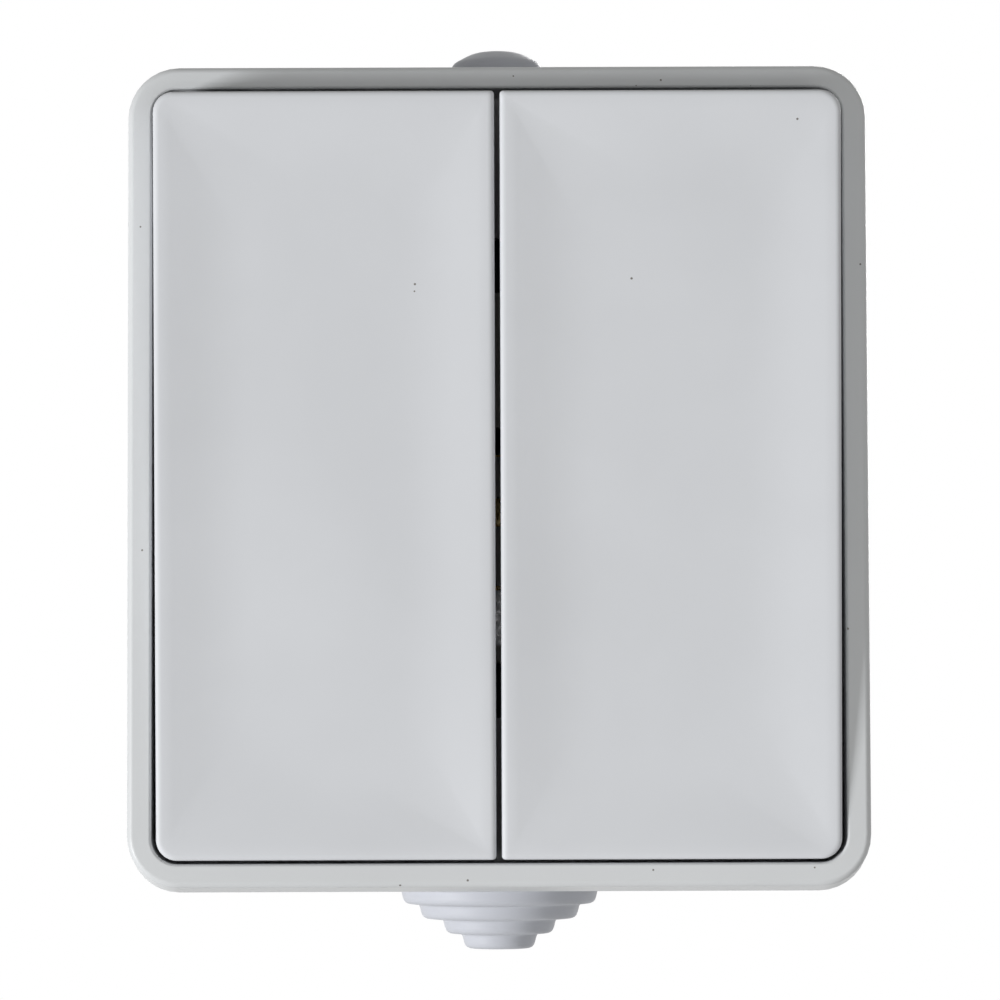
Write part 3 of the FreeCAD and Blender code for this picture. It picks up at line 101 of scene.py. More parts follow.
def background_rays(tree):
    """Gives 1 for rays from the camera, from gloss and through clear surfaces, and 0 for all others."""
    paths = tree.nodes.new("ShaderNodeLightPath")
    total = paths.outputs["Is Camera Ray"]
    for kind in ("Is Glossy Ray", "Is Transmission Ray"):
        added = tree.nodes.new("ShaderNodeMath")
        added.operation = "ADD"
        added.use_clamp = True
        tree.links.new(total, added.inputs[0])
        tree.links.new(paths.outputs[kind], added.inputs[1])
        total = added.outputs[0]
    return total


print("background rays can be told apart")

# %% [markdown]
# ## Light from all round
# The world mixes two tones by that number: plain white, and a dim one that lights the object. The knob on
# top lies in shadow, so its tone tells how dim: a little over a quarter. The rockers can't tell that,
# because the lamps light them. The dim tone is also slightly warm, because the shaded bands are a warmer
# grey than the bright ones.

# %% World
AMBIENT = 0.282
WARM_WHITE = (1.0, 0.985, 0.935, 1)
world = bpy.data.worlds.new("white_room")
bpy.context.scene.world = world
world.use_nodes = True
tree = world.node_tree
tree.nodes.clear()
lighting = tree.nodes.new("ShaderNodeBackground")
lighting.inputs["Color"].default_value = WARM_WHITE
lighting.inputs["Strength"].default_value = AMBIENT
shown = tree.nodes.new("ShaderNodeBackground")
shown.inputs["Color"].default_value = (1, 1, 1, 1)
shown.inputs["Strength"].default_value = 1.0
chosen = tree.nodes.new("ShaderNodeMixShader")
tree.links.new(background_rays(tree), chosen.inputs["Fac"])
tree.links.new(lighting.outputs[0], chosen.inputs[1])
tree.links.new(shown.outputs[0], chosen.inputs[2])
output = tree.nodes.new("ShaderNodeOutputWorld")
tree.links.new(chosen.outputs[0], output.inputs["Surface"])
print("world", world.name, "lights with", AMBIENT)

# %% [markdown]
# ## Lamps
# Shadows tell where the light stood. The rockers stand proud of the cover and shade its right and upper
# bands, and the other two bands are as bright as the rockers. So one broad lamp, the key, stood well to
# the left and rather low. A weak fill in front, slightly low and to the right, keeps the deep shadows
# readable. A lamp behind does the same for the rear of the box, and can't reach anything that faces the
# camera. Area lamps are used, because a point lamp's shadows would be too crisp.

# %% Lamps
LAMPS = [
    ("key", (-1.30, -0.79, -0.41), 23.2, 0.32),
    ("fill", (0.36, -1.34, -0.22), 3.8, 0.5),
    ("back", (0.45, 1.30, 0.35), 13.0, 0.6),
]
for name, place, watts, size in LAMPS:
    lamp = bpy.data.objects.new(name, bpy.data.lights.new(name, "AREA"))
    lamp.data.energy = watts
    lamp.data.size = size
    lamp.location = place
    lamp.rotation_mode = "QUATERNION"
    lamp.rotation_quaternion = (Vector((0, LIP_Y, 0)) - lamp.location).to_track_quat("-Z", "Y")
    bpy.context.collection.objects.link(lamp)
    print("lamp", name, "has", watts, "W and is", size, "m wide")

# %% [markdown]
# ## Floor
# The switch hangs on a wall, so the floor lies well below it, out of the main picture and out of the
# lamps' way. A single plane is enough. To the camera and to gloss it is mostly a plain pale tone, as a
# studio's paper is, with a share of real shading, so that a shadow still shows on it.

# %% Floor
FLOOR_Z, FLOOR_Y, FLOOR_SIZE = -0.30, 0.10, 0.9
PAPER, PAPER_GLOW, PAPER_ROUGHNESS, GLOW_SHARE = 0.85, 0.92, 0.8, 0.75
bpy.ops.object.select_all(action="DESELECT")
bpy.ops.mesh.primitive_plane_add(size=FLOOR_SIZE, location=(0, FLOOR_Y, FLOOR_Z))
floor = bpy.context.object
floor.name = "floor"
pale = bpy.data.materials.new("pale_floor")
pale.use_nodes = True
tree = pale.node_tree
shader = tree.nodes["Principled BSDF"]
shader.inputs["Base Color"].default_value = (PAPER, PAPER, PAPER, 1)
shader.inputs["Roughness"].default_value = PAPER_ROUGHNESS
share = tree.nodes.new("ShaderNodeMath")
share.operation = "MULTIPLY"
share.inputs[1].default_value = GLOW_SHARE
tree.links.new(background_rays(tree), share.inputs[0])
glow = tree.nodes.new("ShaderNodeEmission")
glow.inputs["Color"].default_value = (PAPER_GLOW, PAPER_GLOW, PAPER_GLOW, 1)
blend = tree.nodes.new("ShaderNodeMixShader")
tree.links.new(share.outputs[0], blend.inputs["Fac"])
tree.links.new(shader.outputs[0], blend.inputs[1])
tree.links.new(glow.outputs[0], blend.inputs[2])
tree.links.new(blend.outputs[0], tree.nodes["Material Output"].inputs["Surface"])
floor.data.materials.append(pale)
print("floor at", FLOOR_Z)

# %% [markdown]
# ## Noises
# Everything that shows is a grey moulding, and a moulding is never one flat colour. Pictures of real
# plastic could be laid on, but they show seams where they end. A noise has none and holds at any
# distance. Its values crowd round the middle, so a second helper stretches that middle to the values
# that are wanted.

# %% Noise helpers
NOISE_LOW, NOISE_HIGH = 0.3, 0.7


def noise(tree, coordinates, scale, detail):
    """A noise texture of a scale, in features for each metre."""
    node = tree.nodes.new("ShaderNodeTexNoise")
    node.inputs["Scale"].default_value = scale
    node.inputs["Detail"].default_value = detail
    tree.links.new(coordinates, node.inputs["Vector"])
    return node.outputs["Fac"]


def spread(tree, value, low, high):
    """Maps a noise's middle range to values between low and high."""
    node = tree.nodes.new("ShaderNodeMapRange")
    node.inputs["From Min"].default_value = NOISE_LOW
    node.inputs["From Max"].default_value = NOISE_HIGH
    node.inputs["To Min"].default_value = low
    node.inputs["To Max"].default_value = high
    tree.links.new(value, node.inputs["Value"])
    return node.outputs["Result"]


print("noises are stretched from", NOISE_LOW, "to", NOISE_HIGH)

# %% [markdown]
# ## The recipe of a moulding
# The mould leaves a fine spark-eroded grain on the surface, the melt leaves broad faint clouds in the
# colour, and the gloss wanders a little with the grain. One noise finer than a millimetre gives grain and
# gloss, and one of a few centimetres gives the clouds. Both are in object coordinates, so that the
# pattern stays with the piece when it moves.

# %% Moulding recipe
CLOUD_SCALE, CLOUD_DETAIL = 45.0, 3.0
GRAIN_SCALE, GRAIN_DETAIL, GRAIN_STRENGTH = 3200.0, 2.0, 0.5


def moulded(name, colour, roughness, grain, cloud=0.02, scale=GRAIN_SCALE, swing=0.05):
    """A moulding with clouds in its colour, a grain in its surface and a gloss that swings."""
    material = bpy.data.materials.new(name)
    material.use_nodes = True
    tree = material.node_tree
    shader = tree.nodes["Principled BSDF"]
    coordinates = tree.nodes.new("ShaderNodeTexCoord").outputs["Object"]
    clouds = noise(tree, coordinates, CLOUD_SCALE, CLOUD_DETAIL)
    tint = tree.nodes.new("ShaderNodeMix")
    tint.data_type = "RGBA"
    tint.inputs["A"].default_value = (*[c * (1 - cloud) for c in colour], 1)
    tint.inputs["B"].default_value = (*[min(1.0, c * (1 + cloud)) for c in colour], 1)
    tree.links.new(spread(tree, clouds, 0.0, 1.0), tint.inputs["Factor"])
    tree.links.new(tint.outputs["Result"], shader.inputs["Base Color"])
    fine = noise(tree, coordinates, scale, GRAIN_DETAIL)
    uneven = spread(tree, fine, roughness - swing, roughness + swing)
    tree.links.new(uneven, shader.inputs["Roughness"])
    bump = tree.nodes.new("ShaderNodeBump")
    bump.inputs["Distance"].default_value = grain * MM
    bump.inputs["Strength"].default_value = GRAIN_STRENGTH
    tree.links.new(fine, bump.inputs["Height"])
    tree.links.new(bump.outputs["Normal"], shader.inputs["Normal"])
    return material


print("grain", round(1 / GRAIN_SCALE / MM, 2), "mm, clouds", round(1 / CLOUD_SCALE / MM), "mm")

# %% [markdown]
# ## Plastics and rubbers
# The rockers are the lightest and a little bluish, the cover is a shade darker, and the rubber of gland
# and plug is darker still and bluer. What is inside follows what such switches use: off-white and ivory
# plastics that stand heat, and black seals. The three finishes that show are satin, so they mirror less
# than plain plastic does.

# %% Plastics and rubbers
finishes = {
    "rocker_plastic": moulded("rocker_plastic", (0.59, 0.605, 0.635), 0.52, 0.008, 0.028),
    "cover_plastic": moulded("cover_plastic", (0.565, 0.58, 0.595), 0.40, 0.005),
    "box_plastic": moulded("box_plastic", (0.58, 0.59, 0.605), 0.5, 0.012),
    "mechanism_plastic": moulded("mechanism_plastic", (0.62, 0.61, 0.58), 0.5, 0.01),
    "plunger_plastic": moulded("plunger_plastic", (0.8, 0.79, 0.75), 0.35, 0.005),
    "gland_rubber": moulded("gland_rubber", (0.47, 0.485, 0.53), 0.45, 0.006),
    "seal_rubber": moulded("seal_rubber", (0.02, 0.02, 0.02), 0.7, 0.02, 0.2),
}
SATIN = 0.3
for name in ("rocker_plastic", "cover_plastic", "gland_rubber"):
    shader = finishes[name].node_tree.nodes["Principled BSDF"]
    shader.inputs["Specular IOR Level"].default_value = SATIN
print("mouldings", sorted(finishes))

# %% [markdown]
# ## Dust
# The photograph shows single dark grains of dust on the cover and, more rarely, on the rockers. They
# could be modelled one by one, but a cell texture places them anywhere at no cost: a dot is drawn in the
# middle of a cell, and only a share of the cells, picked by their random colour, keeps its dot.

# %% Dust
DUST_CELLS, DUST_REACH, DUST_COLOUR = 600.0, 0.072, (0.16, 0.15, 0.14, 1)


def specked(material, share):
    """Adds grains of dust to a material: small dark dots, of which only a share is kept."""
    tree = material.node_tree
    shader = tree.nodes["Principled BSDF"]
    base = shader.inputs["Base Color"].links[0].from_socket
    coordinates = tree.nodes.new("ShaderNodeTexCoord").outputs["Object"]
    grains = tree.nodes.new("ShaderNodeTexVoronoi")
    grains.inputs["Scale"].default_value = DUST_CELLS
    tree.links.new(coordinates, grains.inputs["Vector"])
    both = tree.nodes.new("ShaderNodeMath")
    both.operation = "MULTIPLY"
    for i, (socket, limit) in enumerate((("Distance", DUST_REACH), ("Color", share))):
        test = tree.nodes.new("ShaderNodeMath")
        test.operation = "LESS_THAN"
        test.inputs[1].default_value = limit
        tree.links.new(grains.outputs[socket], test.inputs[0])
        tree.links.new(test.outputs[0], both.inputs[i])
    dusty = tree.nodes.new("ShaderNodeMix")
    dusty.data_type = "RGBA"
    dusty.inputs["B"].default_value = DUST_COLOUR
    tree.links.new(both.outputs[0], dusty.inputs["Factor"])
    tree.links.new(base, dusty.inputs["A"])
    tree.links.new(dusty.outputs["Result"], shader.inputs["Base Color"])


for name, share in (("cover_plastic", 0.42), ("rocker_plastic", 0.10)):
    specked(finishes[name], share)
    print("dust on", name, "in cells below", share)

# %% [markdown]
# ## Metals
# Screws, springs and contacts sit inside and hardly show, but a picture of the opened switch needs them.
# Plated and stamped metal has a fine uneven polish, much like the grain of a moulding. So it needs no
# recipe of its own: a coarser noise, a wider swing of the gloss and the metallic value at one are enough.

# %% Metals
POLISH_SCALE, POLISH_DEPTH, POLISH_CLOUD, POLISH_SWING = 1800.0, 0.004, 0.06, 0.1
for name, colour, roughness in (
    ("zinc_steel", (0.68, 0.69, 0.70), 0.32),
    ("spring_steel", (0.5, 0.5, 0.51), 0.25),
    ("terminal_brass", (0.78, 0.6, 0.3), 0.3),
    ("contact_silver", (0.88, 0.87, 0.84), 0.28),
):
    metal = moulded(name, colour, roughness, POLISH_DEPTH, POLISH_CLOUD, POLISH_SCALE, POLISH_SWING)
    metal.node_tree.nodes["Principled BSDF"].inputs["Metallic"].default_value = 1.0
    finishes[name] = metal
    print("metal", name)

# %% [markdown]
# ## A finish for every solid
# The record says for each solid which finish it has. Each could be picked by hand, but reading the record
# misses none and also holds when a solid is added. The pieces modelled below get theirs as they are made.

# %% Finishes on the solids
slot_of = {row["node"]: row["material_slot"] for row in frame["record"]["subparts"]}
for name, node in frame["nodes"].items():
    node.data.materials.clear()
    node.data.materials.append(finishes[slot_of[name]])
print("finishes in use", sorted(set(slot_of.values())))

# %% [markdown]
# ## Picking by place
# Operators act on whatever is selected. By hand a click selects a corner, and in a script its place does.
# The first helper makes one object the only one that an operator can touch. The second leaves only those
# vertices selected that pass a test on their place.

# %% Selection helpers


def only(piece):
    """Selects one object alone and makes it active."""
    bpy.ops.object.select_all(action="DESELECT")
    piece.select_set(True)
    bpy.context.view_layer.objects.active = piece


def select_where(piece, test):
    """Leaves only the vertices that pass a test selected, and stays in edit mode."""
    only(piece)
    bpy.ops.object.mode_set(mode="EDIT")
    bpy.ops.mesh.select_mode(type="VERT")
    bpy.ops.mesh.select_all(action="DESELECT")
    bpy.ops.object.mode_set(mode="OBJECT")
    for vertex in piece.data.vertices:
        vertex.select = test(vertex.co)
    bpy.ops.object.mode_set(mode="EDIT")


print("selection helpers ready")

# %% [markdown]
# ## Soft bends
# A mould has no sharp edges, and each of its edges has a radius of its own. One bevel over the finished
# mesh would give all the same. So a piece is first written as a profile, a list of points round its wall,
# and every bend becomes a short curve before anything is drawn. The last value of a point says how far
# the curve runs along both sides.

# %% Soft bends
BEND_STEPS, LONGEST_SHARE = 4, 0.45


def soften(profile):
    """Rounds a profile's bends. A point is two places, what goes with them, and its reach, all in mm."""
    points = [point[:-1] for point in profile]
    result = []
    for i, (point, reach) in enumerate(zip(points, [point[-1] for point in profile])):
        if not reach:
            result.append(point)
            continue
        ends = []
        for other in (points[i - 1], points[(i + 1) % len(points)]):
            share = min(LONGEST_SHARE, reach / math.dist(point[:2], other[:2]))
            ends.append([p + (q - p) * share for p, q in zip(point, other)])
        for step in range(BEND_STEPS + 1):
            u = step / BEND_STEPS
            weights = ((1 - u) ** 2, 2 * u * (1 - u), u * u)
            trios = zip(ends[0], point, ends[1])
            result.append(tuple(sum(w * c for w, c in zip(weights, trio)) for trio in trios))
    return result


print("a soft corner has", len(soften([(0, 0, 0), (1, 0, 0.2), (1, 1, 0)])) - 2, "points")

# %% [markdown]
# ## An outline with round corners
# The cover and the rockers are pressings whose round corners change from level to level. Each level is
# drawn as a flat outline: a plane that stands upright, and whose corners are rounded by a vertex bevel,
# first the two on the left and then the two on the right, because a rocker's corners differ.

# %% Outline helper
CORNER_STEPS = 8
# The share of the width, from the middle, beyond which a corner counts as lying at a side.
AT_THE_SIDE = 0.49


def box_outline(left, right, low, high, depth, left_corner, right_corner):
    """A flat upright outline at a depth from the wall, with a corner radius for each side, in mm."""
    width = (right - left) * MM
    middle = ((left + right) / 2 * MM, -depth * MM, (low + high) / 2 * MM)
    bpy.ops.mesh.primitive_plane_add(size=1, location=middle, rotation=(math.pi / 2, 0, 0))
    outline = bpy.context.object
    outline.scale = (width, (high - low) * MM, 1)
    bpy.ops.object.transform_apply(location=True, rotation=True, scale=True)
    for side, corner in ((-1, left_corner), (1, right_corner)):
        select_where(outline, lambda co: (co.x - middle[0]) * side > AT_THE_SIDE * width)
        bpy.ops.mesh.bevel(offset=corner * MM, segments=CORNER_STEPS, affect="VERTICES")
        bpy.ops.object.mode_set(mode="OBJECT")
    return outline


print("each round corner has", CORNER_STEPS, "sides")

# %% [markdown]
# ## Outlines in a stack
# Bridging two outlines draws the faces between them. Outlines at nearly the same depth may be bridged
# crosswise, because the operator pairs what lies nearest. So the outlines are first set far apart and
# joined, and each stays a vertex group, by which it can be picked again.

# %% Stack helpers
LEVEL_STEP = 6 * MM


def pick(*levels):
    """Selects the vertices of some outlines of the object in edit mode."""
    bpy.ops.mesh.select_all(action="DESELECT")
    for level in levels:
        bpy.ops.object.vertex_group_set_active(group=f"level_{level}")
        bpy.ops.object.vertex_group_select()


def stacked(name, outlines):
    """Joins outlines into one object, each as a group of its own and a step further from the wall."""
    for level, outline in enumerate(outlines):
        group = outline.vertex_groups.new(name=f"level_{level}")
        group.add(range(len(outline.data.vertices)), 1, "REPLACE")
        only(outline)
        bpy.ops.transform.translate(value=(0, -level * LEVEL_STEP, 0))
        bpy.ops.object.transform_apply(location=True, rotation=True, scale=True)
    only(outlines[0])
    for outline in outlines:
        outline.select_set(True)
    bpy.ops.object.join()
    bpy.context.object.name = name
    return bpy.context.object


print("outlines are stacked", LEVEL_STEP / MM, "mm apart")

# %% [markdown]
# ## From outlines to a skin
# The skin comes from bridging each outline to the next. A ring, such as the wall of the cover, is closed
# by bridging the last to the first, and a solid by filling both ends. It could be drawn face by face, but
# the operator keeps the faces in even rows. Each outline then slides back to its own depth.

# %% Skin helper


def bridged(name, outlines, ring=False):
    """Joins outlines into one closed skin: a ring, or a solid whose first and last outlines are filled."""
    piece = stacked(name, outlines)
    last = len(outlines) - 1
    bpy.ops.object.mode_set(mode="EDIT")
    bpy.ops.mesh.select_mode(type="VERT")
    bpy.ops.mesh.select_all(action="SELECT")
    bpy.ops.mesh.delete(type="ONLY_FACE")
    for level in range(last):
        pick(level, level + 1)
        bpy.ops.mesh.bridge_edge_loops()
    if ring:
        pick(last, 0)
        bpy.ops.mesh.bridge_edge_loops()
    else:
        for level in (0, last):
            pick(level)
            bpy.ops.mesh.edge_face_add()
    for level in range(last + 1):
        pick(level)
        bpy.ops.transform.translate(value=(0, level * LEVEL_STEP, 0))
    bpy.ops.mesh.select_all(action="SELECT")
    bpy.ops.mesh.normals_make_consistent(inside=False)
    bpy.ops.object.mode_set(mode="OBJECT")
    bpy.ops.object.vertex_group_remove(all=True)
    return piece


print("skin helper ready")

# %% [markdown]
# ## Dressing a piece
# A finished piece needs soft shading across its gentle edges and a crisp one across its sharp edges, and
# the finish of its material. The solid that it stands for is hidden, and the piece hangs from the body
# that it moves with. The weighted normals keep large faces flat between soft edges.

# %% Dressing helpers
SHARP = math.radians(32)
FLATTEN = 70


def use_modifier(piece, kind, **settings):
    """Adds a modifier with some settings and applies it."""
    only(piece)
    modifier = piece.modifiers.new(kind.lower(), kind)
    for name, value in settings.items():
        setattr(modifier, name, value)
    bpy.ops.object.modifier_apply(modifier=modifier.name)


def dressed(piece, finish, node, body):
    """Smooths a piece, gives it its finish and lets it stand for a node of the frame."""
    only(piece)
    bpy.ops.object.shade_smooth_by_angle(angle=SHARP)
    use_modifier(piece, "WEIGHTED_NORMAL", keep_sharp=True, weight=FLATTEN)
    piece.data.materials.clear()
    piece.data.materials.append(finishes[finish])
    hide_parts(node)
    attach(piece, body)
    places = [vertex.co for vertex in piece.data.vertices]
    box = [[limit(place[i] for place in places) for i in range(3)] for limit in (min, max)]
    print(piece.name, "faces", len(piece.data.polygons))


print("pieces turn sharp above", round(math.degrees(SHARP)), "degrees")

# %% [markdown]
# ## The cover
# The cover is one deep moulding: a skirt that widens a little towards the wall, a nearly flat band, a
# well for the rockers, and a plate with a window for the mechanism. Insets and extrusions would give it
# too, but with the same softness at every edge. So one profile runs round its wall: up the skirt, over a
# crisp narrow edge, along the band to the lip, down the well, along the plate to the window, and back
# inside the skirt. The well sits a shade lower than the skirt, as the photograph shows.

# %% The cover's profile
cover_low, cover_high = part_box("front_cover")
SKIRT_X, SKIRT_Z = cover_high.x / MM, cover_high.z / MM
SKIRT_DEPTH, LIP_DEPTH = -cover_high.y / MM, -cover_low.y / MM
SKIRT_WALL, SKIRT_CORNER, ROOM_CORNER = 1.8, 5.2, 4.9
FLARE, BAND_DROP, BAND_LOWER, BAND_EDGE, BAND_FALL = 0.9, 0.5, 0.19, 0.4, 0.1
OPENING_X, OPENING_Z, OPENING_MIDDLE, OPENING_CORNER, CHAMFER = 35.0, 39.25, -0.1, 2.6, 0.2
WELL_DEPTH, WEB, SEAL_RIM, WINDOW_CORNER = 7.3, 1.8, 1.6, 0.4
BAND_X, BAND_Z = SKIRT_X - FLARE, SKIRT_Z - FLARE - BAND_LOWER
ROOM_X, ROOM_Z = SKIRT_X - SKIRT_WALL, SKIRT_Z - SKIRT_WALL
seal_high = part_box("mechanism_seal")[1]
WINDOW_X, WINDOW_Z = seal_high.x / MM - SEAL_RIM, seal_high.z / MM - SEAL_RIM
plate_front, plate_rear = LIP_DEPTH - WELL_DEPTH, LIP_DEPTH - WELL_DEPTH - WEB
INNER_EDGE = LIP_DEPTH - BAND_FALL
# Half the width, the depth, half the height, the corner radius, the middle's height and the reach.
cover_profile = [
    (SKIRT_X, SKIRT_DEPTH, SKIRT_Z, SKIRT_CORNER, 0, 0.25),
    (BAND_X, LIP_DEPTH - BAND_DROP, BAND_Z, SKIRT_CORNER, -BAND_LOWER, 0.25),
    (BAND_X - BAND_EDGE, INNER_EDGE, BAND_Z - BAND_EDGE, SKIRT_CORNER - BAND_EDGE, -BAND_LOWER, 0.25),
    (OPENING_X + CHAMFER, LIP_DEPTH, OPENING_Z + CHAMFER, OPENING_CORNER + CHAMFER, OPENING_MIDDLE, 0.12),
    (OPENING_X, LIP_DEPTH - CHAMFER, OPENING_Z, OPENING_CORNER, OPENING_MIDDLE, 0.1),
    (OPENING_X, plate_front, OPENING_Z, OPENING_CORNER, OPENING_MIDDLE, 0.4),
    (WINDOW_X, plate_front, WINDOW_Z, WINDOW_CORNER, 0, 0),
    (WINDOW_X, plate_rear, WINDOW_Z, WINDOW_CORNER, 0, 0),
    (ROOM_X, plate_rear, ROOM_Z, ROOM_CORNER, 0, 0.4),
    (ROOM_X, SKIRT_DEPTH, ROOM_Z, ROOM_CORNER, 0, 0.2),
]
print("cover", round(2 * SKIRT_X, 2), "by", round(2 * SKIRT_Z, 2), "mm, lip at", round(LIP_DEPTH, 2))

# %% [markdown]
# ## The cover's skin and holes
# Every point of the profile becomes an outline, and the skin runs from each to the next and back to the
# first, as a ring. The plate has four holes for the cover's screws and two wider ones that clear the
# heads of the mechanism's screws. They could be drawn into the outlines, but drilling them afterwards
# with a cylinder is simpler, and is what a workshop would do.

# %% The cover's skin and holes
SCREW_HOLE, HEAD_HOLE, HEAD_RADIUS, DRILL_SIDES = 1.75, 3.3, 2.8, 32
cover_levels = [
    box_outline(-x, x, middle - z, middle + z, depth, corner, corner)
    for x, depth, z, corner, middle in soften(cover_profile)
]
cover = bridged("cover_moulding", cover_levels, ring=True)
screw_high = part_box("cover_screws")[1]
screw_x, screw_z = screw_high.x / MM - HEAD_RADIUS, screw_high.z / MM - HEAD_RADIUS
bracket_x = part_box("mechanism_screws")[1].x / MM - HEAD_RADIUS
holes = [(sx * screw_x, sz * screw_z, SCREW_HOLE) for sx in (-1, 1) for sz in (-1, 1)]
holes += [(side * bracket_x, 0, HEAD_HOLE) for side in (-1, 1)]
for x, z, radius in holes:
    bpy.ops.mesh.primitive_cylinder_add(
        vertices=DRILL_SIDES,
        radius=radius * MM,
        depth=3 * WEB * MM,
        location=(x * MM, -(plate_front + plate_rear) / 2 * MM, z * MM),
        rotation=(math.pi / 2, 0, 0),
    )
    drill = bpy.context.object
    use_modifier(cover, "BOOLEAN", operation="DIFFERENCE", solver="EXACT", object=drill)
    bpy.data.objects.remove(drill)
dressed(cover, "cover_plastic", "front_cover", "housing")

# %% [markdown]
# ## The form of a rocker
# A rocker's face is a long shallow hollow: a flat middle that lies two thirds of a millimetre deep, and a
# border that rises from it in a long curve to a narrow rim. It is too gentle to sculpt by eye, but a few
# outlines give it exactly. The profile starts at the rear of the plate, goes back along the inside of the
# thin side wall, out over its end, forward to the rim and inward to the middle.

# %% The profile of a rocker
FACE, HOLLOW, BORDER, MIDDLE = 6.62, 0.65, 6.8, 12.4
SIDE_REAR, PLATE_REAR, WALL, RIM = 1.5, 5.0, 1.5, 1.2
SEAM, OUTER_X, HALF_LENGTH = 0.275, 34.5, 38.62
OUTER_CORNER, SEAM_CORNER, INNER_CORNER, RIM_CORNER = 2.1, 0.4, 0.4, 1.3
# The distance inside the plan, that in front of the hinge, the two corner radii and the reach.
rocker_profile = [
    (WALL, PLATE_REAR, INNER_CORNER, INNER_CORNER, 0),
    (WALL, SIDE_REAR, INNER_CORNER, INNER_CORNER, 0.2),
    (0.0, SIDE_REAR, OUTER_CORNER, SEAM_CORNER, 0.2),
    (0.0, FACE + HOLLOW, OUTER_CORNER, SEAM_CORNER, 0.6),
    (RIM, FACE + HOLLOW, RIM_CORNER, SEAM_CORNER, 0.6),
    (BORDER, FACE, 5.0, 5.0, 4.0),
    (MIDDLE, FACE, 8.0, 8.0, 0),
]


def rocker_level(side, inset, front, outer_corner, seam_corner, hinge_depth):
    """One outline of the rocker on a side, a distance inside its plan."""
    inner, outer = SEAM + inset, OUTER_X - inset
    left, right = (inner, outer) if side > 0 else (-outer, -inner)
    corners = (seam_corner, outer_corner) if side > 0 else (outer_corner, seam_corner)
    half = HALF_LENGTH - inset
    return box_outline(left, right, -half, half, hinge_depth + front, *corners)


print("rocker", round(OUTER_X - SEAM, 2), "by", 2 * HALF_LENGTH, "mm, hollow by", HOLLOW)

# %% [markdown]
# ## Ribs and hooks
# Behind its face a rocker has two thin ribs that stiffen its ends, and two hooks that grip the plate of
# the cradle below. A hook is a stem with a claw. They hide behind the face, so plain blocks serve, each a
# cube that is stretched between three pairs of limits and runs a little into what carries it.

# %% Ribs and hooks
RIB, RIB_REAR = (26.5, 27.5), 3.5
STEM, CLAW, HOOK_REAR, CLAW_FRONT, HOOK_HALF = (13.1, 14.6), (12.4, 13.2), 2.0, 3.1, 4
OVERLAP = 0.1


def small_block(across, depths, along):
    """A block from its limits in mm: across the switch, in depth from the wall, and in height."""
    low, high = zip(*[sorted(pair) for pair in (across, depths, along)])
    middle = [(a + b) / 2 * MM for a, b in zip(low, high)]
    bpy.ops.mesh.primitive_cube_add(size=1, location=(middle[0], -middle[1], middle[2]))
    block = bpy.context.object
    block.scale = [(b - a) * MM for a, b in zip(low, high)]
    bpy.ops.object.transform_apply(location=True, rotation=True, scale=True)
    return block


def ribs_and_hooks(side, gang_x, hinge_depth):
    """The two ribs and the two hooks behind the rocker on a side."""
    inside = sorted((side * (SEAM + WALL), side * (OUTER_X - WALL)))
    rib_across = (inside[0] - OVERLAP, inside[1] + OVERLAP)
    hook_across = (gang_x - HOOK_HALF, gang_x + HOOK_HALF)
    plate = hinge_depth + PLATE_REAR + OVERLAP
    hook_rear = hinge_depth + HOOK_REAR
    blocks = []
    for end in (-1, 1):
        rib, stem, claw = [(end * near, end * far) for near, far in (RIB, STEM, CLAW)]
        blocks.append(small_block(rib_across, (hinge_depth + RIB_REAR, plate), rib))
        blocks.append(small_block(hook_across, (hook_rear, plate), stem))
        blocks.append(small_block(hook_across, (hook_rear, hinge_depth + CLAW_FRONT), claw))
    return blocks


print("ribs at", RIB, "mm, hooks at", STEM, "mm")

# %% [markdown]
# ## The two rockers
# Both rockers rest with the lower end pressed. Outlines are easiest to draw level, so each rocker is
# drawn that way, joined with its ribs and hooks, and then turned about its hinge by half of its travel.
# The turn happens in edit mode, so that the object itself stays unturned. The turn needs an explicit
# centre, because a script has no window whose pivot it could use.

# %% The two rockers
HANDS = {"left": -1, "right": 1}
for hand, side in HANDS.items():
    tilt = joints[f"rocker_{hand}_tilt"]
    pivot = Vector(tilt["pos_m"])
    gang_x, hinge_depth = pivot.x / MM, -pivot.y / MM
    levels = [rocker_level(side, *level, hinge_depth) for level in soften(rocker_profile)]
    rocker = bridged(f"rocker_face_{hand}", levels)
    extras = ribs_and_hooks(side, gang_x, hinge_depth)
    only(rocker)
    for extra in extras:
        extra.select_set(True)
    bpy.ops.object.join()
    bpy.ops.object.mode_set(mode="EDIT")
    bpy.ops.mesh.select_all(action="SELECT")
    half_travel = math.radians(sum(tilt["range_deg"]) / 2)
    bpy.ops.transform.rotate(value=half_travel, orient_axis="X", center_override=pivot)
    bpy.ops.object.mode_set(mode="OBJECT")
    dressed(rocker, "rocker_plastic", f"rocker_{hand}", f"rocker_{hand}")

# %% [markdown]
# ## Turned pieces
# The gland and the plug are round, so each is a half section that is spun a full turn. By hand it would
# be drawn from bend to bend, and the helper does the same: it shrinks a small plane to one vertex and
# extrudes that along the profile. The spin leaves doubles where it ends and on the axis, which are merged.

# %% Turning helper
ENTRY_DEPTH, TURNS, MERGE = 16.0, 96, 0.002 * MM


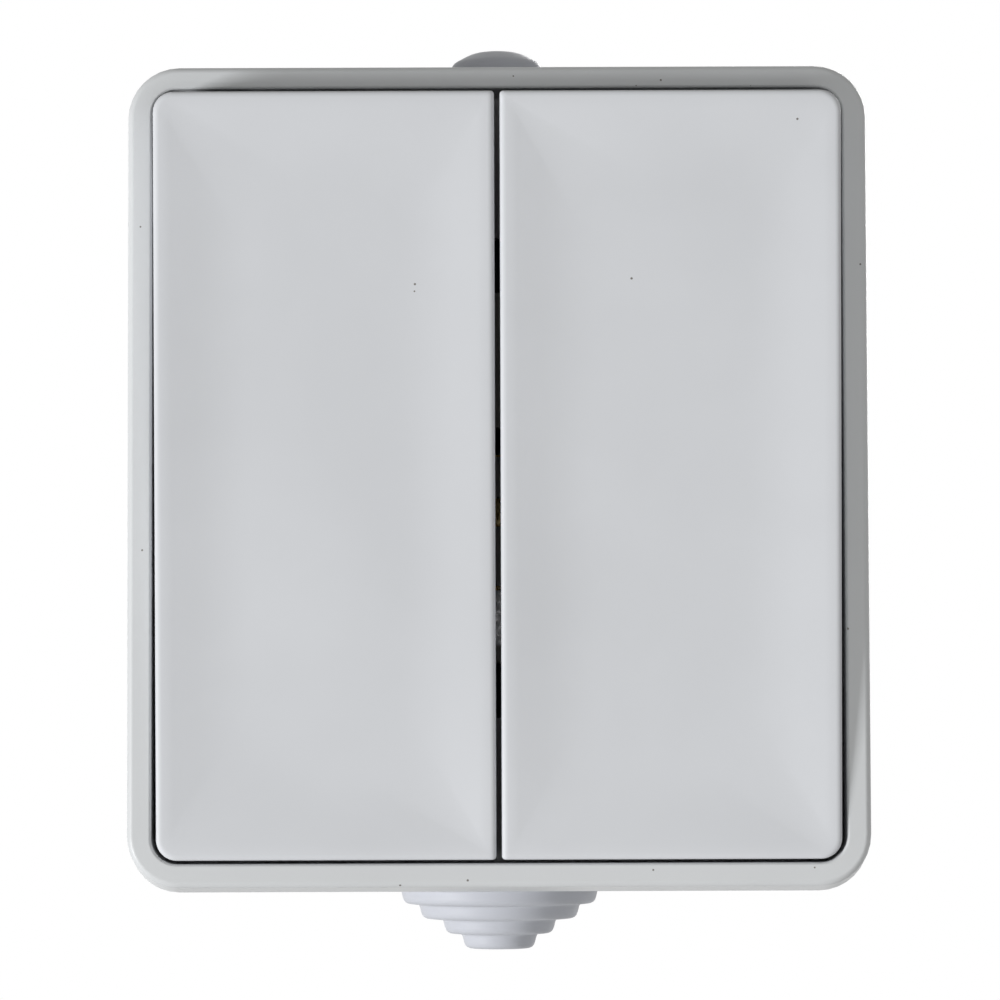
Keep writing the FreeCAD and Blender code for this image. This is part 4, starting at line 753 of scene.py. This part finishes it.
def turned(name, profile, up):
    """A piece turned about the entry's axis. Its profile starts and ends on that axis."""
    path = soften(profile)
    bpy.ops.object.select_all(action="DESELECT")
    start = (path[0][0] * MM, -ENTRY_DEPTH * MM, up * path[0][1] * MM)
    bpy.ops.mesh.primitive_plane_add(size=MM, location=start)
    piece = bpy.context.object
    piece.name = name
    bpy.ops.object.transform_apply(location=True, rotation=True, scale=True)
    bpy.ops.object.mode_set(mode="EDIT")
    bpy.ops.mesh.select_mode(type="VERT")
    bpy.ops.mesh.merge(type="CENTER")
    for (r0, h0), (r1, h1) in zip(path, path[1:]):
        step = ((r1 - r0) * MM, 0, up * (h1 - h0) * MM)
        bpy.ops.mesh.extrude_region_move(TRANSFORM_OT_translate={"value": step})
    bpy.ops.mesh.select_all(action="SELECT")
    centre = (0, -ENTRY_DEPTH * MM, 0)
    bpy.ops.mesh.spin(steps=TURNS, angle=2 * math.pi, center=centre, axis=(0, 0, 1))
    bpy.ops.mesh.select_all(action="SELECT")
    bpy.ops.mesh.remove_doubles(threshold=MERGE)
    bpy.ops.mesh.normals_make_consistent(inside=False)
    bpy.ops.object.mode_set(mode="OBJECT")
    return piece


print("round pieces have", TURNS, "sides")

# %% [markdown]
# ## The cable gland
# The gland steps down in four beads, so that the right one can be cut open for the cable. Each bead is a
# little narrower at its free end and hollow inside, and its rims are round, as rubber comes off a mould.
# A groove between an inner flange and an outer collar holds it in the entry of the box.
# The steps repeat, so they come from a list of radii instead of being written out.

# %% Gland
ENTRY_RADIUS, SEAL_LIP, SEAL_FIT, FLANGE, SKIN, BOSS = 9.4, 1.8, 0.1, 1.2, 1.2, 3.15
STEP_RADII, STEP, TAPER, STEP_END = [10.65, 8.65, 6.1, 4.05], 1.6, 0.4, 1.0
COLLAR_RADIUS, COLLAR = 12.0, 0.8
gland_low, gland_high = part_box("cable_gland")
inside_z, tip_z = -gland_high.z / MM + FLANGE, -gland_low.z / MM
boss_face = inside_z + BOSS
groove, throat = ENTRY_RADIUS - SEAL_FIT, ENTRY_RADIUS - SEAL_FIT - SKIN
flange_radius = ENTRY_RADIUS + SEAL_LIP
# The radius, the height and the reach, here and in every turned profile.
seat = [
    (throat, inside_z - FLANGE, 0.3),
    (flange_radius, inside_z - FLANGE, 0.3),
    (flange_radius, inside_z, 0.3),
    (groove, inside_z, 0.15),
    (groove, boss_face, 0.15),
]
ends = [tip_z - STEP * count for count in (3, 2, 1, 0)]
begins = [boss_face + COLLAR] + ends[:3]
core, beads = [], []
for radius, begin, end in zip(STEP_RADII, begins, ends):
    inner = radius - TAPER - SKIN
    ceiling = begin if begin == begins[0] else begin - STEP_END
    core += [(inner, ceiling, 0.2), (inner, end - STEP_END, 0.2)]
    beads += [(radius, begin, 0.4), (radius - TAPER, end, 0.7)]
gland_profile = [(0, tip_z - STEP_END, 0)] + core[::-1] + [(throat, begins[0], 0.2)] + seat
gland_profile += [(COLLAR_RADIUS, boss_face, 0.2), (COLLAR_RADIUS, boss_face + COLLAR, 0.3)]
gland_profile += beads + [(0, tip_z, 0)]
dressed(turned("gland_rubber_steps", gland_profile, -1), "gland_rubber", "cable_gland", "housing")

# %% [markdown]
# ## The blanking plug
# The upper entry isn't used, so a plug closes it. It sits in its hole with the same groove and flange as
# the gland, and ends in a low knob on a cone. Only its outside differs, so the part of the section that
# grips the box is used again, and turned the other way up.

# %% Plug
PLUG_RADIUS, PLUG_RIM, CONE_RADIUS, CONE_TOP = 10.5, 1.5, 6.4, 2.9
KNOB_RADIUS, KNOB_SHOULDER, CROWN_RADIUS = 4.95, 1.35, 2.5
POCKET_RADIUS, POCKET = 1.0, 1.3
crown_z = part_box("entry_plug")[1].z / MM
pocket_top = boss_face + POCKET
pocket = [(0, pocket_top, 0), (POCKET_RADIUS, pocket_top, 0.3), (throat, boss_face, 0.2)]
plug_profile = pocket + seat + [
    (PLUG_RADIUS, boss_face, 0.2),
    (PLUG_RADIUS, boss_face + PLUG_RIM, 0.3),
    (CONE_RADIUS, boss_face + CONE_TOP, 0.3),
    (KNOB_RADIUS, boss_face + CONE_TOP, 0.25),
    (KNOB_RADIUS, crown_z - KNOB_SHOULDER, 0.6),
    (CROWN_RADIUS, crown_z, 1.1),
    (0, crown_z, 0),
]
dressed(turned("plug_rubber_knob", plug_profile, 1), "gland_rubber", "entry_plug", "housing")

# %% [markdown]
# ## The form of a spring
# Each plunger is pressed against its contact by a small compression spring of round wire. A helix could
# be drawn as a curve, but a screw modifier gives a clean mesh at once: it carries a ring of points, the
# section of the wire, along five turns. The two cut ends are then closed.

# %% Coil helper
WIRE, COIL_RADIUS, COIL_TURNS = 0.25, 1.75, 5
WIRE_SIDES, TURN_STEPS = 12, 24


def coiled(name, length):
    """A spring of round wire that stands on the origin, with its free length in mm."""
    bpy.ops.object.select_all(action="DESELECT")
    place = (COIL_RADIUS * MM, 0, 0)
    bpy.ops.mesh.primitive_circle_add(
        vertices=WIRE_SIDES, radius=WIRE * MM, location=place, rotation=(math.pi / 2, 0, 0)
    )
    coil = bpy.context.object
    coil.name = name
    bpy.ops.object.transform_apply(location=True, rotation=True, scale=True)
    steps = {"steps": TURN_STEPS, "render_steps": TURN_STEPS, "iterations": COIL_TURNS}
    use_modifier(coil, "SCREW", axis="Z", screw_offset=length / COIL_TURNS * MM, **steps)
    bpy.ops.object.mode_set(mode="EDIT")
    bpy.ops.mesh.select_all(action="SELECT")
    bpy.ops.mesh.remove_doubles(threshold=MERGE)
    bpy.ops.mesh.select_all(action="SELECT")
    bpy.ops.mesh.fill_holes(sides=0)
    bpy.ops.mesh.select_all(action="SELECT")
    bpy.ops.mesh.normals_make_consistent(inside=False)
    bpy.ops.object.mode_set(mode="OBJECT")
    return coil


print("springs have", COIL_TURNS, "turns of wire", 2 * WIRE, "mm thick")

# %% [markdown]
# ## The plungers' springs
# A spring sits between the blind end of the cradle's tube and the shoulder of its plunger. It shortens
# as the plunger is pushed in, which a rigid piece can't do. Here it is made at its free length, turned
# along the plunger's axis and carried by the rocker.

# %% Springs
BLIND_END, SHOULDER, COIL_SEAT, SPARE = -2.0, 5.5, 0.1, 0.02
coil_begin, coil_end = BLIND_END + COIL_SEAT + WIRE, SHOULDER - COIL_SEAT - WIRE
for hand in HANDS:
    slide = joints[f"plunger_{hand}_slide"]
    pivot = Vector(joints[f"rocker_{hand}_tilt"]["pos_m"])
    inward = -Vector(slide["axis"]).normalized()
    coil = coiled(f"plunger_coil_{hand}", coil_end - coil_begin)
    coil.rotation_mode = "QUATERNION"
    coil.rotation_quaternion = inward.to_track_quat("Z", "X")
    coil.location = pivot + inward * coil_begin * MM
    bpy.ops.object.transform_apply(location=True, rotation=True, scale=True)
    dressed(coil, "spring_steel", f"spring_{hand}", f"rocker_{hand}")
    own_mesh(coil)
